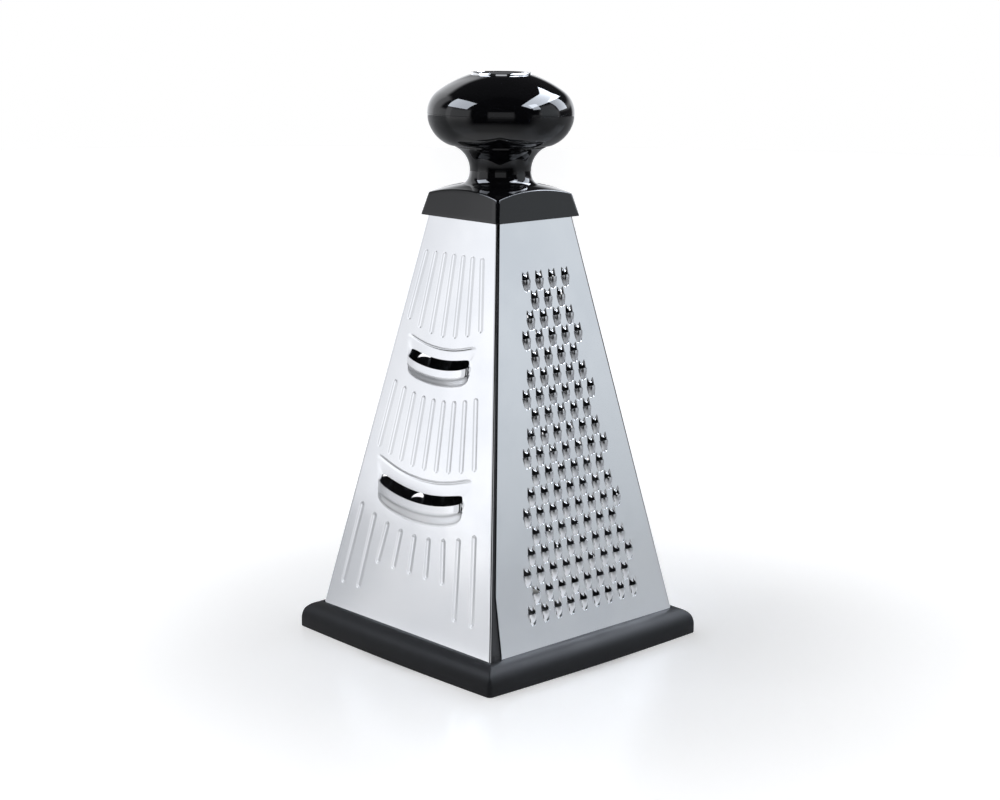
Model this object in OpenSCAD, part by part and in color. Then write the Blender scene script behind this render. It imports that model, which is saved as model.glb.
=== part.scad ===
// Four-sided pyramid grater: two bent steel shells, a soft foot ring, a ball knob.
// The table is z = 0. The slicing face looks along -Y, the fine face along +X,
// the rasp face along +Y and the coarse face along -X.

/* [Steel body] */
// Width across two opposite steel faces, carried down to the table
body_w = 111.7; // [95:0.1:130]
// Width across two opposite steel faces at the folded top
body_top_w = 41.5; // [36:0.1:50]
// Height of the folded top above the table
body_h = 186; // [172:1:200]
// Thickness of the steel sheet
sheet_t = 0.5; // [0.4:0.05:0.7]
// Outer radius of the bend that joins the two faces of a shell
bend_r = 2; // [1.4:0.1:3]
// Outer radius of the edge that a shell turns round a seam corner
seam_r = 1.6; // [1.2:0.1:1.8]
// Distance of a shell's plain edge from the seam corner, at its top
seam_gap_top = 1.25; // [1.2:0.05:2]
// Distance of a shell's plain edge from the seam corner, carried down to the table
seam_gap_foot = 2.6; // [1.8:0.05:3.5]
// Distance of the plain edge from the seam corner in its relief at the foot
relief_w = 6.1; // [4:0.1:8]
// Height above the table where the relief at the foot begins
relief_h = 36; // [20:1:50]
// Length of the tabs that are folded in at the top of each face
tab_l = 7; // [4:0.5:10]

/* [Slicing face] */
// Sideways place of the stamped pattern on the two faces beside the front seam
pattern_shift = 1.4; // [0:0.05:3]
// Height of the lower blade's edge at its middle
low_blade_z = 64; // [58:0.5:70]
// Height of the upper blade's edge at its middle
high_blade_z = 118.8; // [112:0.5:125]
// Length of the lower slot
low_slot_l = 53.6; // [40:0.1:60]
// Length of the upper slot
high_slot_l = 38.4; // [30:0.1:42]
// Radius of the lower slot's curve
low_curve_r = 84; // [70:1:140]
// Radius of the upper slot's curve
high_curve_r = 66; // [55:1:110]
// Gap between a blade's edge and the plate above it
slot_gap = 4.7; // [4:0.1:6]
// Height of a blade's edge above the face
blade_lift = 1.5; // [1:0.1:2.5]
// Length of the lower blade, from its edge down to the face
low_blade_l = 8; // [5:0.1:10]
// Length of the upper blade, from its edge down to the face
high_blade_l = 7.2; // [5:0.1:10]
// Depth of the ramp that leads down to each slot
ramp_depth = 0.4; // [0.2:0.05:0.5]
// Length of the ramp that leads down to each slot
ramp_l = 6; // [4:0.1:8]
// Width of the pressed ribs
rib_w = 2.1; // [1.5:0.1:3]
// Depth of the pressed ribs
rib_h = 0.3; // [0.2:0.05:0.4]
// Distance from the ramps to the ribs above them
rib_clear_above = 4; // [2:0.1:6]
// Distance from the blades to the ribs below them
rib_clear_below = 6; // [3:0.1:8]
// Distance of the top group's upper ends from the folded top
rib_top_margin = 20.5; // [12:0.5:26]
// Height of the long ribs' lower ends above the table
rib_foot_z = 23.3; // [18:0.1:28]
// Length of the short ribs under the lower blade
rib_short_l = 13.8; // [8:0.1:18]
// Ribs on each side of the middle one in the top group
top_side_ribs = 3; // [2:1:4]
// Ribs on each side of the middle one in the two lower groups
low_side_ribs = 4; // [3:1:5]
// Short ribs on each side of the middle one under the lower blade
short_side_ribs = 2; // [0:1:3]
// Spacing of the top group's upper ends
top_upper_pitch = 5.7; // [4:0.05:6]
// Spacing of the top group's lower ends
top_lower_pitch = 7.3; // [6:0.05:8]
// Rise of the top group's lower ends towards its sides
top_lower_rise = 4.7; // [0:0.1:7]
// Spacing of the middle group's upper ends
mid_upper_pitch = 6.3; // [5:0.05:7]
// Spacing of the middle group's lower ends
mid_lower_pitch = 7.45; // [6:0.05:8]
// Rise of the middle group's ends towards its sides
mid_rise = 4.6; // [0:0.1:6]
// Spacing of the lowest group's upper ends
low_upper_pitch = 8.9; // [7:0.05:9.5]
// Spacing of the lowest group's lower ends
low_lower_pitch = 10.25; // [8:0.05:11]
// Rise of the lowest group's upper ends towards its sides
low_upper_rise = 7; // [0:0.1:8]

/* [Fine face] */
// Teeth in the lowest row
fine_low_count = 9; // [5:1:9]
// Sideways pitch of the fine teeth
fine_pitch = 7.45; // [6.5:0.05:9]
// Pitch of the rows of fine teeth
fine_row_pitch = 7.9; // [7.5:0.05:8.6]
// Height of the lowest row's edges
fine_low_z = 25.4; // [22:0.1:30]
// Outer radius of a fine tooth
fine_r = 2.1; // [1.6:0.05:2.5]
// Height of a fine tooth
fine_h = 1.2; // [0.8:0.05:1.5]
// Length of a fine tooth
fine_l = 5; // [4:0.1:5.5]
// Height of a fine tooth's hole above its edge
fine_hole_h = 2.5; // [1.8:0.1:3]

/* [Coarse face] */
// Sideways pitch of the coarse teeth
coarse_pitch = 13; // [12:0.1:15]
// Pitch of the rows of coarse teeth
coarse_row_pitch = 13.5; // [12:0.1:15]
// Height of the lowest row's edges
coarse_low_z = 23.5; // [22:0.5:30]
// Outer radius of a coarse tooth
coarse_r = 4.1; // [3:0.1:4.5]
// Height of a coarse tooth
coarse_h = 2.2; // [1.5:0.1:3]
// Length of a coarse tooth
coarse_l = 7.5; // [6:0.1:8.5]
// Height of a coarse tooth's hole above its edge
coarse_hole_h = 3.6; // [3:0.1:3.8]

/* [Rasp face] */
// Sideways pitch of the rasp's burst holes
rasp_pitch = 7.8; // [7:0.1:10]
// Pitch of the rows of burst holes
rasp_row_pitch = 6.9; // [6:0.1:9]
// Height of the lowest row of burst holes
rasp_low_z = 24; // [20:0.5:30]
// Radius of a burst hole's crown where it leaves the face
rasp_foot_r = 2; // [1.6:0.05:2.4]
// Radius of a burst hole's crown at its top
rasp_top_r = 1.35; // [1.2:0.05:1.5]
// Radius of a burst hole
rasp_hole_r = 1; // [0.7:0.05:1.1]
// Height of a burst hole's crown
rasp_h = 1; // [0.6:0.05:1.5]

/* [Coarse and rasp patterns] */
// Bare width round the pattern
pattern_margin = 6; // [4:0.5:12]

/* [Base] */
// Reach of the foot ring beyond the steel's faces at the table, at the middle of its sides
ring_reach = 6.45; // [4:0.05:12]
// Bow of the foot ring's sides
ring_bow = 1.3; // [0.5:0.1:3]
// Radius of the foot ring's corners
ring_corner_r = 2; // [1:0.1:4]
// Height of the foot ring's upright side
ring_side_h = 3.6; // [2:0.1:5]
// Radius of the foot ring's shoulder
ring_shoulder_r = 7.6; // [6:0.1:9]
// Height of the steel's lower edge above the table
sheet_foot_z = 4; // [3:0.1:5]
// Thickness of the base frame's wall behind the steel
frame_t = 2; // [1.5:0.1:3]
// Height of the base frame's top above the table
frame_top_z = 13; // [11:0.5:16]
// Thickness of the base frame's ledge under the steel
ledge_t = 2; // [1.5:0.1:2.4]
// Width of the ledge outside the steel's outer face
ledge_w = 2; // [1:0.1:3]
// Width of the foot ring's sole inside the steel's outer face
sole_w = 4; // [3:0.1:6]

/* [Seam strips] */
// Thickness of a seam strip's legs
strip_t = 1.8; // [1.2:0.1:2.5]
// Width of a seam strip's legs
strip_leg = 7; // [6.5:0.1:7.2]
// Depth of the strip's nose below the rounded corner
nose_depth = 0.25; // [0.1:0.05:0.4]

/* [Collar and neck] */
// Wall of the collar outside the steel, at its lower edge
collar_wall = 2.1; // [1.2:0.1:3]
// Inset of the collar's upper edge from its lower edge
collar_taper = 2.3; // [1:0.1:4]
// Height of the collar's side
collar_h = 9.4; // [8:0.1:14]
// Depth that the collar reaches down over the steel
collar_lap = 5; // [4:0.1:7]
// Radius of the collar's upright corners
collar_corner_r = 1.5; // [1:0.1:3]
// Height of the collar's crown above the folded top
collar_crown_h = 9.4; // [8:0.1:12]
// Radius of the collar's domed top
dome_r = 90; // [70:1:140]
// Radius of the neck at its waist
neck_r = 12.8; // [11:0.1:14]
// Height of the waist above the folded top
waist_h = 13.9; // [12:0.1:16]
// Radius of the neck's hollow curve
neck_curve_r = 10.5; // [9:0.1:14]
// Height of the knob's seat above the folded top
seat_h = 24.3; // [22:0.1:30]
// Radius of the seat
seat_r = 19; // [17:0.1:21]

/* [Knob] */
// Width of the knob
knob_w = 61; // [56:0.5:70]
// Height of the knob's widest place above its seat
knob_low_h = 13.1; // [11:0.1:14]
// Height of the knob's crown above its widest place
knob_up_h = 16.6; // [14:0.1:18]
// Radius of the lower shell's round side
knob_low_r = 14.1; // [13.2:0.1:16]
// Radius of the upper shell's round side
knob_side_r = 11; // [8:0.1:12]
// Wall of the knob's shells
knob_wall = 2.4; // [1.8:0.1:3]
// Radius of the boss in the lower shell
boss_r = 7.5; // [6.8:0.1:10]
// Height of the boss above the seat
boss_h = 14.5; // [12:0.5:16]
// Height of the spigot that centres the knob in the neck
spigot_h = 3; // [2:0.5:5]
// Radius of the nut's well under the cap
well_r = 8.6; // [8.2:0.1:9]

/* [Cap] */
// Width of the chromed cap
cap_w = 25.2; // [22:0.1:32]
// Height of the cap's edge above the knob
cap_proud = 1.5; // [1:0.1:2]
// Thickness of the cap
cap_t = 2.2; // [1.8:0.1:3]
// Width of the cap's raised rim
cap_rim_w = 1; // [0.6:0.1:2]
// Height of the cap's raised rim
cap_rim_h = 0.35; // [0.2:0.05:0.6]
// Depth of the ring that presses into the well
cap_ring_h = 2.5; // [1.5:0.1:3]
// Wall of the ring that presses into the well
cap_ring_t = 1; // [0.8:0.1:1.5]

/* [Fastening] */
// Diameter of the tie bolt
bolt_d = 6; // [5:0.5:6]
// Width across the flats of the bolt's head and of the nut
flats_w = 10; // [9:0.5:11]
// Height of the bolt's head
head_h = 4; // [3:0.5:5]
// Height of the nut
nut_h = 5; // [4:0.5:6]
// Diameter of the washer
washer_d = 12.4; // [11:0.1:14]
// Thickness of the washer
washer_t = 1.2; // [0.8:0.1:1.6]
// Length of the bolt beyond the nut
bolt_end = 2; // [1:0.5:2.5]
// Height of the plug inside the top of the steel
plug_h = 15; // [12:0.5:20]
// Wall of the plug
plug_t = 2.2; // [1.8:0.1:3]
// Thickness of the plug's top
plug_top_t = 3; // [2:0.1:4]
// Radius of the plug's boss round the bolt's head
plug_boss_r = 9; // [8:0.5:12]
// Clearance between pieces that fit together
fit = 0.1; // [0.05:0.01:0.15]

/* [Hidden] */
$fn = 48;

// Lean of the faces, and of the corners between them
slope = (body_w - body_top_w) / 2 / body_h;
lean = atan(slope);
corner_lean = atan(slope * sqrt(2));
// Angle between a face's normal and the outward direction of its corner
corner_half_turn = acos(sin(lean) * sin(lean)) / 2;
// Thickness of the leaning sheet along a level line
sheet_level_t = sheet_t / cos(lean);
// Inset of what lies behind the steel, from the outer faces
behind = sheet_level_t + fit;
// How far cuts and pieces that are trimmed run past what they meet
over = 3 * sheet_t;
// Turn that brings the first face to the place of each face
SLICER = 0;
FINE = 90;
RASP = 180;
COARSE = 270;
// Direction in which the turned edge at a seam ends, and the steps of a bend
turned_edge_end = -42;
bend_steps = 6;
// Corner radius of the rooms that the steel's corners stand in
room_r = min(bend_r, seam_r) / 2;
// Width across the foot ring's sides, at their middle, and its height
ring_w = body_w + 2 * ring_reach;
ring_h = ring_side_h + ring_shoulder_r;

seat_z = body_h + seat_h;
knob_mid_z = seat_z + knob_low_h;
boss_top_z = seat_z + boss_h;
nut_z = boss_top_z + washer_t;
crown_z = knob_mid_z + knob_up_h;
tab_z = body_h - 1.25 * sheet_t;
plug_top_z = tab_z;
head_z = plug_top_z - plug_top_t - head_h;
bolt_r = bolt_d / 2;
bolt_hole_r = bolt_r + 2 * fit;
cap_r = cap_w / 2;
steel = "gainsboro";
black = [0.08, 0.08, 0.09];

// Half the width across the outer faces at a height
function half_at(z) = body_w / 2 - z * slope;
// Distance of a plain edge from its seam corner at a height
function gap_at(z) = seam_gap_foot + (seam_gap_top - seam_gap_foot) * z / body_h;
// Points of an arc round a centre, between two directions
function arc(c, r, from, to, steps) =
    [for (i = [0:steps]) let (a = from + (to - from) * i / steps) c + r * [cos(a), sin(a)]];
// Outline of a square with rounded corners, from its half width
function round_square(h, r, steps) =
    [for (turn = [0:90:270]) each
        arc((h - r) * [cos(turn) - sin(turn), sin(turn) + cos(turn)], r, turn, turn + 90, steps)];
// Plan of a shell's outer side, or of its inner side when inset, at a height
function shell_plan(z, inset) =
    let (h = half_at(z), s = h - seam_r, b = h - bend_r)
    concat(arc([s, -s], seam_r - inset, turned_edge_end, -90, bend_steps),
           arc([-b, -b], bend_r - inset, -90, -180, bend_steps),
           [[inset - h, h - gap_at(z)]]);
function raised(plan, z) = [for (p = plan) [p.x, p.y, z]];

// Closed body between two outlines of the same number of points
module loft(low, low_z, high, high_z) {
    n = len(low);
    polyhedron(concat(raised(low, low_z), raised(high, high_z)),
        concat([[for (i = [0:n - 1]) i]], [[for (i = [n - 1:-1:0]) n + i]],
               [for (i = [0:n - 1]) [i, n + i, n + (i + 1) % n, (i + 1) % n]]));
}

// Four-sided body that follows the faces at an inset, with its corners cut inside the bends
module follow_faces(low_z, high_z, inset) {
    corner_r = max(bend_r, seam_r) + fit;
    loft(round_square(half_at(low_z) - inset, corner_r, 2), low_z,
         round_square(half_at(high_z) - inset, corner_r, 2), high_z);
}

// Room for the steel, with clearance outside its faces
module steel_room(low_z, high_z)
    loft(round_square(half_at(low_z) + fit, room_r, 2), low_z,
         round_square(half_at(high_z) + fit, room_r, 2), high_z);

// Frame of a face: X to its right, Y up along it, Z out of it, from the table line
module on_face(turn)
    rotate([0, 0, turn]) translate([0, -body_w / 2, 0]) rotate([90 - lean, 0, 0]) children();
// Frame of the corner to the right of a face: Z up along it, X outwards
module on_corner(turn)
    rotate([0, 0, turn - 45]) translate([body_w / sqrt(2), 0, 0])
        rotate([0, -corner_lean, 0]) children();
// Length up a face for a height above the table
function up(z) = z / cos(lean);

// One bent sheet with two faces, a turned edge at one seam and a plain edge at the other
module bent_sheet() {
    low_out = shell_plan(sheet_foot_z, 0);
    low_in = shell_plan(sheet_foot_z, sheet_level_t);
    high_out = shell_plan(body_h, 0);
    high_in = shell_plan(body_h, sheet_level_t);
    n = len(low_out);
    e = n - 1;
    polyhedron(
        concat(raised(low_out, sheet_foot_z), raised(low_in, sheet_foot_z),
               raised(high_out, body_h), raised(high_in, body_h)),
        concat(
            [for (i = [0:n - 2]) [i, i + 1, 2 * n + i + 1, 2 * n + i]],
            [for (i = [0:n - 2]) [n + i, 3 * n + i, 3 * n + i + 1, n + i + 1]],
            [for (i = [0:n - 2]) [i, n + i, n + i + 1, i + 1]],
            [for (i = [0:n - 2]) [2 * n + i, 2 * n + i + 1, 3 * n + i + 1, 3 * n + i]],
            [[0, 2 * n, 3 * n, n], [e, n + e, 3 * n + e, 2 * n + e]]));
}

// Tab folded in at the top of a face
module top_tab(turn) {
    top_half = half_at(body_h);
    tab_w = 1.2 * top_half;
    rotate([0, 0, turn]) translate([-tab_w / 2, sheet_t / 2 - top_half, tab_z])
        cube([tab_w, tab_l, sheet_t]);
}

// Relief cut in a face's plain left edge at the foot
module foot_relief(turn) {
    edge = half_at(0);
    start = up(relief_h);
    on_face(turn) translate([0, 0, -over]) linear_extrude(2 * over) polygon([
        [-edge - relief_w, -over], [relief_w - edge, -over],
        [relief_w - edge + start / 3 * sin(lean), start / 3],
        [gap_at(relief_h) - edge + start * sin(lean), start],
        [-edge, start]]);
}

// Part of a ring round a blade's centre of curve, with a profile of radius and height
module curved_band(blade_z, curve_r, half_l, profile) {
    spread = asin(half_l / curve_r);
    on_face(SLICER) translate([-pattern_shift, up(blade_z) + curve_r, 0])
        rotate([0, 0, 270 - spread]) rotate_extrude(angle = 2 * spread, $fn = 96)
            polygon(profile);
}

// Slot and the room under its blade and ramp
module slot_cut(blade_z, curve_r, slot_l, blade_l)
    curved_band(blade_z, curve_r, slot_l / 2, [
        [curve_r - slot_gap - ramp_l + over / 2, -over], [curve_r + blade_l - over, -over],
        [curve_r + blade_l - over, over], [curve_r - slot_gap - ramp_l + over / 2, over]]);

// Blade that rises from the face up to its edge
module blade(blade_z, curve_r, slot_l, blade_l)
    curved_band(blade_z, curve_r, slot_l / 2 + fit, [
        [curve_r, blade_lift], [curve_r, blade_lift - sheet_t],
        [curve_r + blade_l, -0.8 * sheet_t], [curve_r + blade_l, -0.4 * sheet_t]]);

// Ramp that leads down to the slot
module ramp(blade_z, curve_r, slot_l)
    curved_band(blade_z, curve_r, slot_l / 2 + fit, [
        [curve_r - slot_gap, -ramp_depth], [curve_r - slot_gap, -ramp_depth - sheet_t],
        [curve_r - slot_gap - ramp_l, -0.6 * sheet_t], [curve_r - slot_gap - ramp_l, -0.2 * sheet_t]]);

// Bar of a rib from one point of the face to another, each given as place and height: it dips
// below the face by the ribs' depth, or by a wall more behind them
module rib(from, to, wall) {
    rib_r = (rib_w * rib_w / 4 + rib_h * rib_h) / (2 * rib_h);
    a = [from.x, up(from.y)];
    b = [to.x, up(to.y)];
    run = b - a;
    slab_top = wall > 0 ? -sheet_t / 2 : over;
    on_face(SLICER) intersection() {
        translate([a.x, a.y, rib_r - rib_h]) rotate([0, 0, atan2(run.y, run.x)])
            rotate([0, 90, 0]) translate([0, 0, -wall]) cylinder(r = rib_r + wall, h = norm(run) + 2 * wall);
        translate([-body_w / 2, 0, slab_top - rib_h - 2 * sheet_t - over])
            cube([body_w, up(body_h), rib_h + 2 * sheet_t + over]);
    }
}

// Fan of ribs round the pattern's middle, whose ends rise with the square of their place
module rib_fan(side_ribs, upper_pitch, upper_z, upper_rise, lower_pitch, lower_z, lower_rise, wall)
    for (i = [-side_ribs:side_ribs]) {
        rise_share = i * i / (side_ribs * side_ribs);
        rib([i * upper_pitch - pattern_shift, upper_z + rise_share * upper_rise],
            [i * lower_pitch - pattern_shift, lower_z + rise_share * lower_rise], wall);
    }

// Three fans of ribs, above the upper blade, between the blades and below the lower blade: the
// grooves that are pressed in from outside, or with a wall the ridges that they push out behind
module ribs(wall) {
    rib_fan(top_side_ribs, top_upper_pitch, body_h - rib_top_margin, 0, top_lower_pitch,
            high_blade_z + slot_gap + ramp_l + rib_clear_above, top_lower_rise, wall);
    rib_fan(low_side_ribs, mid_upper_pitch, high_blade_z - high_blade_l - rib_clear_below, mid_rise,
            mid_lower_pitch, low_blade_z + slot_gap + ramp_l + rib_clear_above, mid_rise, wall);
    upper_z = low_blade_z - low_blade_l - rib_clear_below;
    for (i = [-low_side_ribs:low_side_ribs]) {
        rise_share = i * i / (low_side_ribs * low_side_ribs);
        rib([i * low_upper_pitch - pattern_shift, upper_z + rise_share * low_upper_rise],
            [i * low_lower_pitch - pattern_shift,
             abs(i) > short_side_ribs ? rib_foot_z : upper_z - rib_short_l], wall);
    }
}

// Scoop tooth with its edge across the origin: outer form
module scoop(r, h, l) {
    fall = atan((h + sheet_t / 2) / l);
    intersection() {
        translate([0, 0, h - r / cos(fall)]) rotate([90 + fall, 0, 0])
            translate([0, 0, -over]) cylinder(r = r, h = l + 2 * over, $fn = 32);
        translate([-2 * r, -2 * l, -sheet_t / 2]) cube([4 * r, 2 * l, h + sheet_t]);
    }
}
// Scoop tooth: the room inside it and its hole above the edge
module scoop_cut(r, h, l, hole_h) {
    fall = atan((h + sheet_t / 2) / l);
    inner_r = r - 0.8 * sheet_t;
    translate([0, 0, h - r / cos(fall)]) rotate([90 + fall, 0, 0])
        translate([0, 0, -over / 4]) cylinder(r = inner_r, h = l + over, $fn = 32);
    hull_r = (inner_r * inner_r + hole_h * hole_h) / (2 * hole_h);
    intersection() {
        translate([0, hole_h - hull_r, -over]) cylinder(r = hull_r, h = 2 * over, $fn = 32);
        translate([-r, -over / 2, -2 * over]) cube([2 * r, 2 * r, 4 * over]);
    }
}

// Rows of fine teeth: groups of three rows, each group one tooth narrower than the one below
module fine_places()
    for (group = [0:min(5, fine_low_count - 2)], row = [0:2]) {
        count = fine_low_count - group - row % 2;
        for (i = [0:count - 1])
            translate([pattern_shift + (i - (count - 1) / 2) * fine_pitch,
                       up(fine_low_z) + (3 * group + row) * fine_row_pitch, 0]) children();
    }
// Staggered rows, as many and as wide as the face has room for; the lowest is shifted if first is 1
module staggered_rows(pitch, row_pitch, low_z, r, first = 0) {
    margin = pattern_margin + r;
    last = floor((body_h - collar_lap - margin - low_z) / (row_pitch * cos(lean)));
    for (row = [0:last]) {
        y = up(low_z) + row * row_pitch;
        odd = (row + first) % 2;
        steps = floor((half_at(y * cos(lean)) - margin) / pitch - odd / 2);
        if (steps >= 0)
            for (i = [-steps - odd:steps])
                translate([(i + odd / 2) * pitch, y, 0]) children();
    }
}
// Rows of coarse teeth
module coarse_places()
    staggered_rows(coarse_pitch, coarse_row_pitch, coarse_low_z, coarse_r, 1) children();
// Rows of burst holes
module rasp_places()
    staggered_rows(rasp_pitch, rasp_row_pitch, rasp_low_z, rasp_foot_r) children();

module slicer_coarse_shell() color(steel) {
    difference() {
        union() {
            difference() {
                bent_sheet();
                slot_cut(low_blade_z, low_curve_r, low_slot_l, low_blade_l);
                slot_cut(high_blade_z, high_curve_r, high_slot_l, high_blade_l);
                foot_relief(COARSE);
            }
            blade(low_blade_z, low_curve_r, low_slot_l, low_blade_l);
            blade(high_blade_z, high_curve_r, high_slot_l, high_blade_l);
            ramp(low_blade_z, low_curve_r, low_slot_l);
            ramp(high_blade_z, high_curve_r, high_slot_l);
            ribs(sheet_t);
            top_tab(SLICER);
            top_tab(COARSE);
            on_face(COARSE) coarse_places() scoop(coarse_r, coarse_h, coarse_l);
        }
        ribs(0);
        on_face(COARSE) coarse_places() scoop_cut(coarse_r, coarse_h, coarse_l, coarse_hole_h);
    }
}

module fine_rasp_shell() color(steel) {
    difference() {
        union() {
            difference() {
                rotate([0, 0, 180]) bent_sheet();
                foot_relief(FINE);
            }
            top_tab(FINE);
            top_tab(RASP);
            on_face(FINE) fine_places() scoop(fine_r, fine_h, fine_l);
            on_face(RASP) rasp_places() translate([0, 0, -sheet_t / 2])
                cylinder(r1 = rasp_foot_r, r2 = rasp_top_r, h = rasp_h + sheet_t / 2, $fn = 24);
        }
        on_face(FINE) fine_places() scoop_cut(fine_r, fine_h, fine_l, fine_hole_h);
        on_face(RASP) rasp_places() translate([0, 0, -over])
            cylinder(r = rasp_hole_r, h = rasp_h + 2 * over, $fn = 24);
    }
}

// Rigid frame that stands inside the steel's foot and carries it on a ledge
module base_frame() color(black) {
    ledge_z = sheet_foot_z - fit;
    difference() {
        union() {
            follow_faces(ledge_z - ledge_t, frame_top_z, behind);
            loft(round_square(half_at(sheet_foot_z) + ledge_w, bend_r, 2), ledge_z - ledge_t,
                 round_square(half_at(sheet_foot_z) + ledge_w, bend_r, 2), ledge_z);
        }
        follow_faces(-over, frame_top_z + over, behind + frame_t);
    }
}

// Outline of a square with bowed sides and round corners, moved in by an inset
function bowed_square(inset) =
    let (half = ring_w / 2 - inset, end_half = ring_w / 2 - ring_bow,
         side_r = (end_half * end_half + ring_bow * ring_bow) / (2 * ring_bow) - inset,
         corner_r = max(ring_corner_r - inset, ring_corner_r / 4),
         out = side_r - half,
         k = (sqrt(2 * (side_r - corner_r) * (side_r - corner_r) - out * out) - out) / 2,
         meet = atan2(k, k + out))
    [for (turn = [0:90:270]) each concat(
        arc(-out * [cos(turn), sin(turn)], side_r, turn - meet, turn + meet, 8),
        arc(k * [cos(turn) - sin(turn), sin(turn) + cos(turn)], corner_r,
            turn + meet + 1, turn + 89 - meet, 3))];

// Closed body through a stack of outlines of the same number of points
module stack(outlines, heights) {
    n = len(outlines[0]);
    levels = len(outlines);
    polyhedron(
        [for (level = [0:levels - 1]) each raised(outlines[level], heights[level])],
        concat(
            [[for (i = [0:n - 1]) i], [for (i = [n - 1:-1:0]) (levels - 1) * n + i]],
            [for (level = [0:levels - 2], i = [0:n - 1]) let (a = level * n, j = (i + 1) % n)
                [a + i, a + n + i, a + n + j]],
            [for (level = [0:levels - 2], i = [0:n - 1]) let (a = level * n, j = (i + 1) % n)
                [a + i, a + n + j, a + j]]));
}

// Soft ring round the foot of the steel and under the frame's ledge
module foot_ring() color([0.13, 0.13, 0.13]) {
    turns = [for (a = [0:15:90]) a];
    ledge_z = sheet_foot_z - fit;
    ledge_half = half_at(sheet_foot_z) + ledge_w + fit;
    sole_half = half_at(0) - sole_w;
    difference() {
        stack(concat([bowed_square(0)],
                     [for (a = turns) bowed_square(ring_shoulder_r * (1 - cos(a)))]),
              concat([0], [for (a = turns) ring_side_h + ring_shoulder_r * sin(a)]));
        steel_room(ledge_z - ledge_t / 2, sheet_foot_z + ring_h);
        loft(round_square(ledge_half, bend_r, 2), ledge_z - ledge_t - fit,
             round_square(ledge_half, bend_r, 2), ledge_z + fit);
        loft(round_square(sole_half, bend_r, 2), -over, round_square(sole_half, bend_r, 2), ring_h);
    }
}

// Point of a seam strip's section, from its depths behind the two faces
function seam_point(a, b) =
    [-(a + b) / (2 * cos(corner_half_turn)), (a - b) / (2 * sin(corner_half_turn))];
// Strip in a seam corner: two legs behind the faces and a nose between the sheets' edges
module seam_strip(turn) {
    d = sheet_t + fit;
    deep = d + strip_t;
    strip_low_z = frame_top_z + fit;
    strip_high_z = plug_top_z - plug_h - fit;
    centre = seam_point(seam_r, seam_r);
    nose_r = seam_r - nose_depth;
    nose_side = seam_gap_top - 2 * fit;
    nose_start = turned_edge_end + 45 + 5;
    nose_end = min(acos((seam_r - nose_side) / nose_r) - corner_half_turn, corner_half_turn);
    section = concat(
        [seam_point(d, strip_leg), seam_point(deep, strip_leg), seam_point(deep, deep),
         seam_point(strip_leg, deep), seam_point(strip_leg, d), seam_point(nose_side, d)],
        arc(centre, nose_r, nose_end, nose_start, 3),
        arc(centre, seam_r - d, nose_start, -corner_half_turn, 4));
    color(black) intersection() {
        on_corner(turn) linear_extrude(body_h) polygon(section);
        translate([-body_w, -body_w, strip_low_z])
            cube([2 * body_w, 2 * body_w, strip_high_z - strip_low_z]);
    }
}
module front_seam_strip() seam_strip(SLICER);
module back_seam_strip() seam_strip(RASP);

// Six-sided bar across its flats
module hex_bar(flats, h) cylinder(r = flats / sqrt(3), h = h, $fn = 6);

// Plug inside the top of the steel, with the bolt's head in a six-sided pocket
module top_plug() color(black) {
    low_z = plug_top_z - plug_h;
    difference() {
        follow_faces(low_z, plug_top_z - fit, behind);
        difference() {
            follow_faces(low_z - over, plug_top_z - plug_top_t, behind + plug_t);
            translate([0, 0, head_z]) cylinder(r = plug_boss_r, h = plug_h);
        }
        translate([0, 0, head_z - over]) hex_bar(flats_w + 2 * fit, head_h + over);
        translate([0, 0, head_z]) cylinder(r = bolt_hole_r, h = plug_h);
    }
}

// Collar over the steel's top and the waisted neck above it
module neck_collar() color(black) {
    low_z = body_h - collar_lap;
    low_half = half_at(low_z) + collar_wall;
    crown_top_z = body_h + collar_crown_h;
    difference() {
        union() {
            intersection() {
                loft(round_square(low_half, collar_corner_r, 4), low_z,
                     round_square(low_half - 2 * collar_taper, collar_corner_r, 4),
                     low_z + 2 * collar_h);
                translate([0, 0, crown_top_z - dome_r]) sphere(r = dome_r, $fn = 120);
            }
            rotate_extrude($fn = 96) difference() {
                translate([0, body_h + collar_crown_h / 2])
                    square([seat_r, seat_h - collar_crown_h / 2]);
                translate([neck_r + neck_curve_r, body_h + waist_h]) circle(r = neck_curve_r);
                translate([neck_r + neck_curve_r / 2, body_h + collar_crown_h / 2])
                    square([seat_r, waist_h - collar_crown_h / 2]);
            }
        }
        steel_room(low_z - over, body_h + fit);
        translate([0, 0, body_h]) cylinder(r = bolt_hole_r, h = seat_h + over);
        translate([0, 0, seat_z - spigot_h - fit]) cylinder(r = boss_r + fit, h = spigot_h + over);
    }
}

// Lower shell of the knob, with the boss that the nut pulls on
module knob_lower_shell() color(black) {
    side_x = knob_w / 2 - knob_low_r;
    rotate_extrude($fn = 96) difference() {
        union() {
            intersection() {
                translate([0, seat_z]) square([knob_w / 2, knob_low_h]);
                difference() {
                    union() {
                        translate([side_x, knob_mid_z]) circle(r = knob_low_r);
                        translate([0, seat_z]) square([side_x, knob_low_h]);
                    }
                    translate([side_x, knob_mid_z]) intersection() {
                        circle(r = knob_low_r - knob_wall);
                        translate([0, seat_z + knob_wall - knob_mid_z])
                            square([knob_low_r, knob_low_h]);
                    }
                    translate([boss_r, seat_z + knob_wall])
                        square([side_x - boss_r + fit, knob_low_h]);
                }
            }
            translate([0, seat_z - spigot_h]) square([boss_r, spigot_h + boss_h]);
        }
        translate([0, seat_z - spigot_h - over]) square([bolt_hole_r, spigot_h + boss_h + 2 * over]);
    }
}

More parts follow.
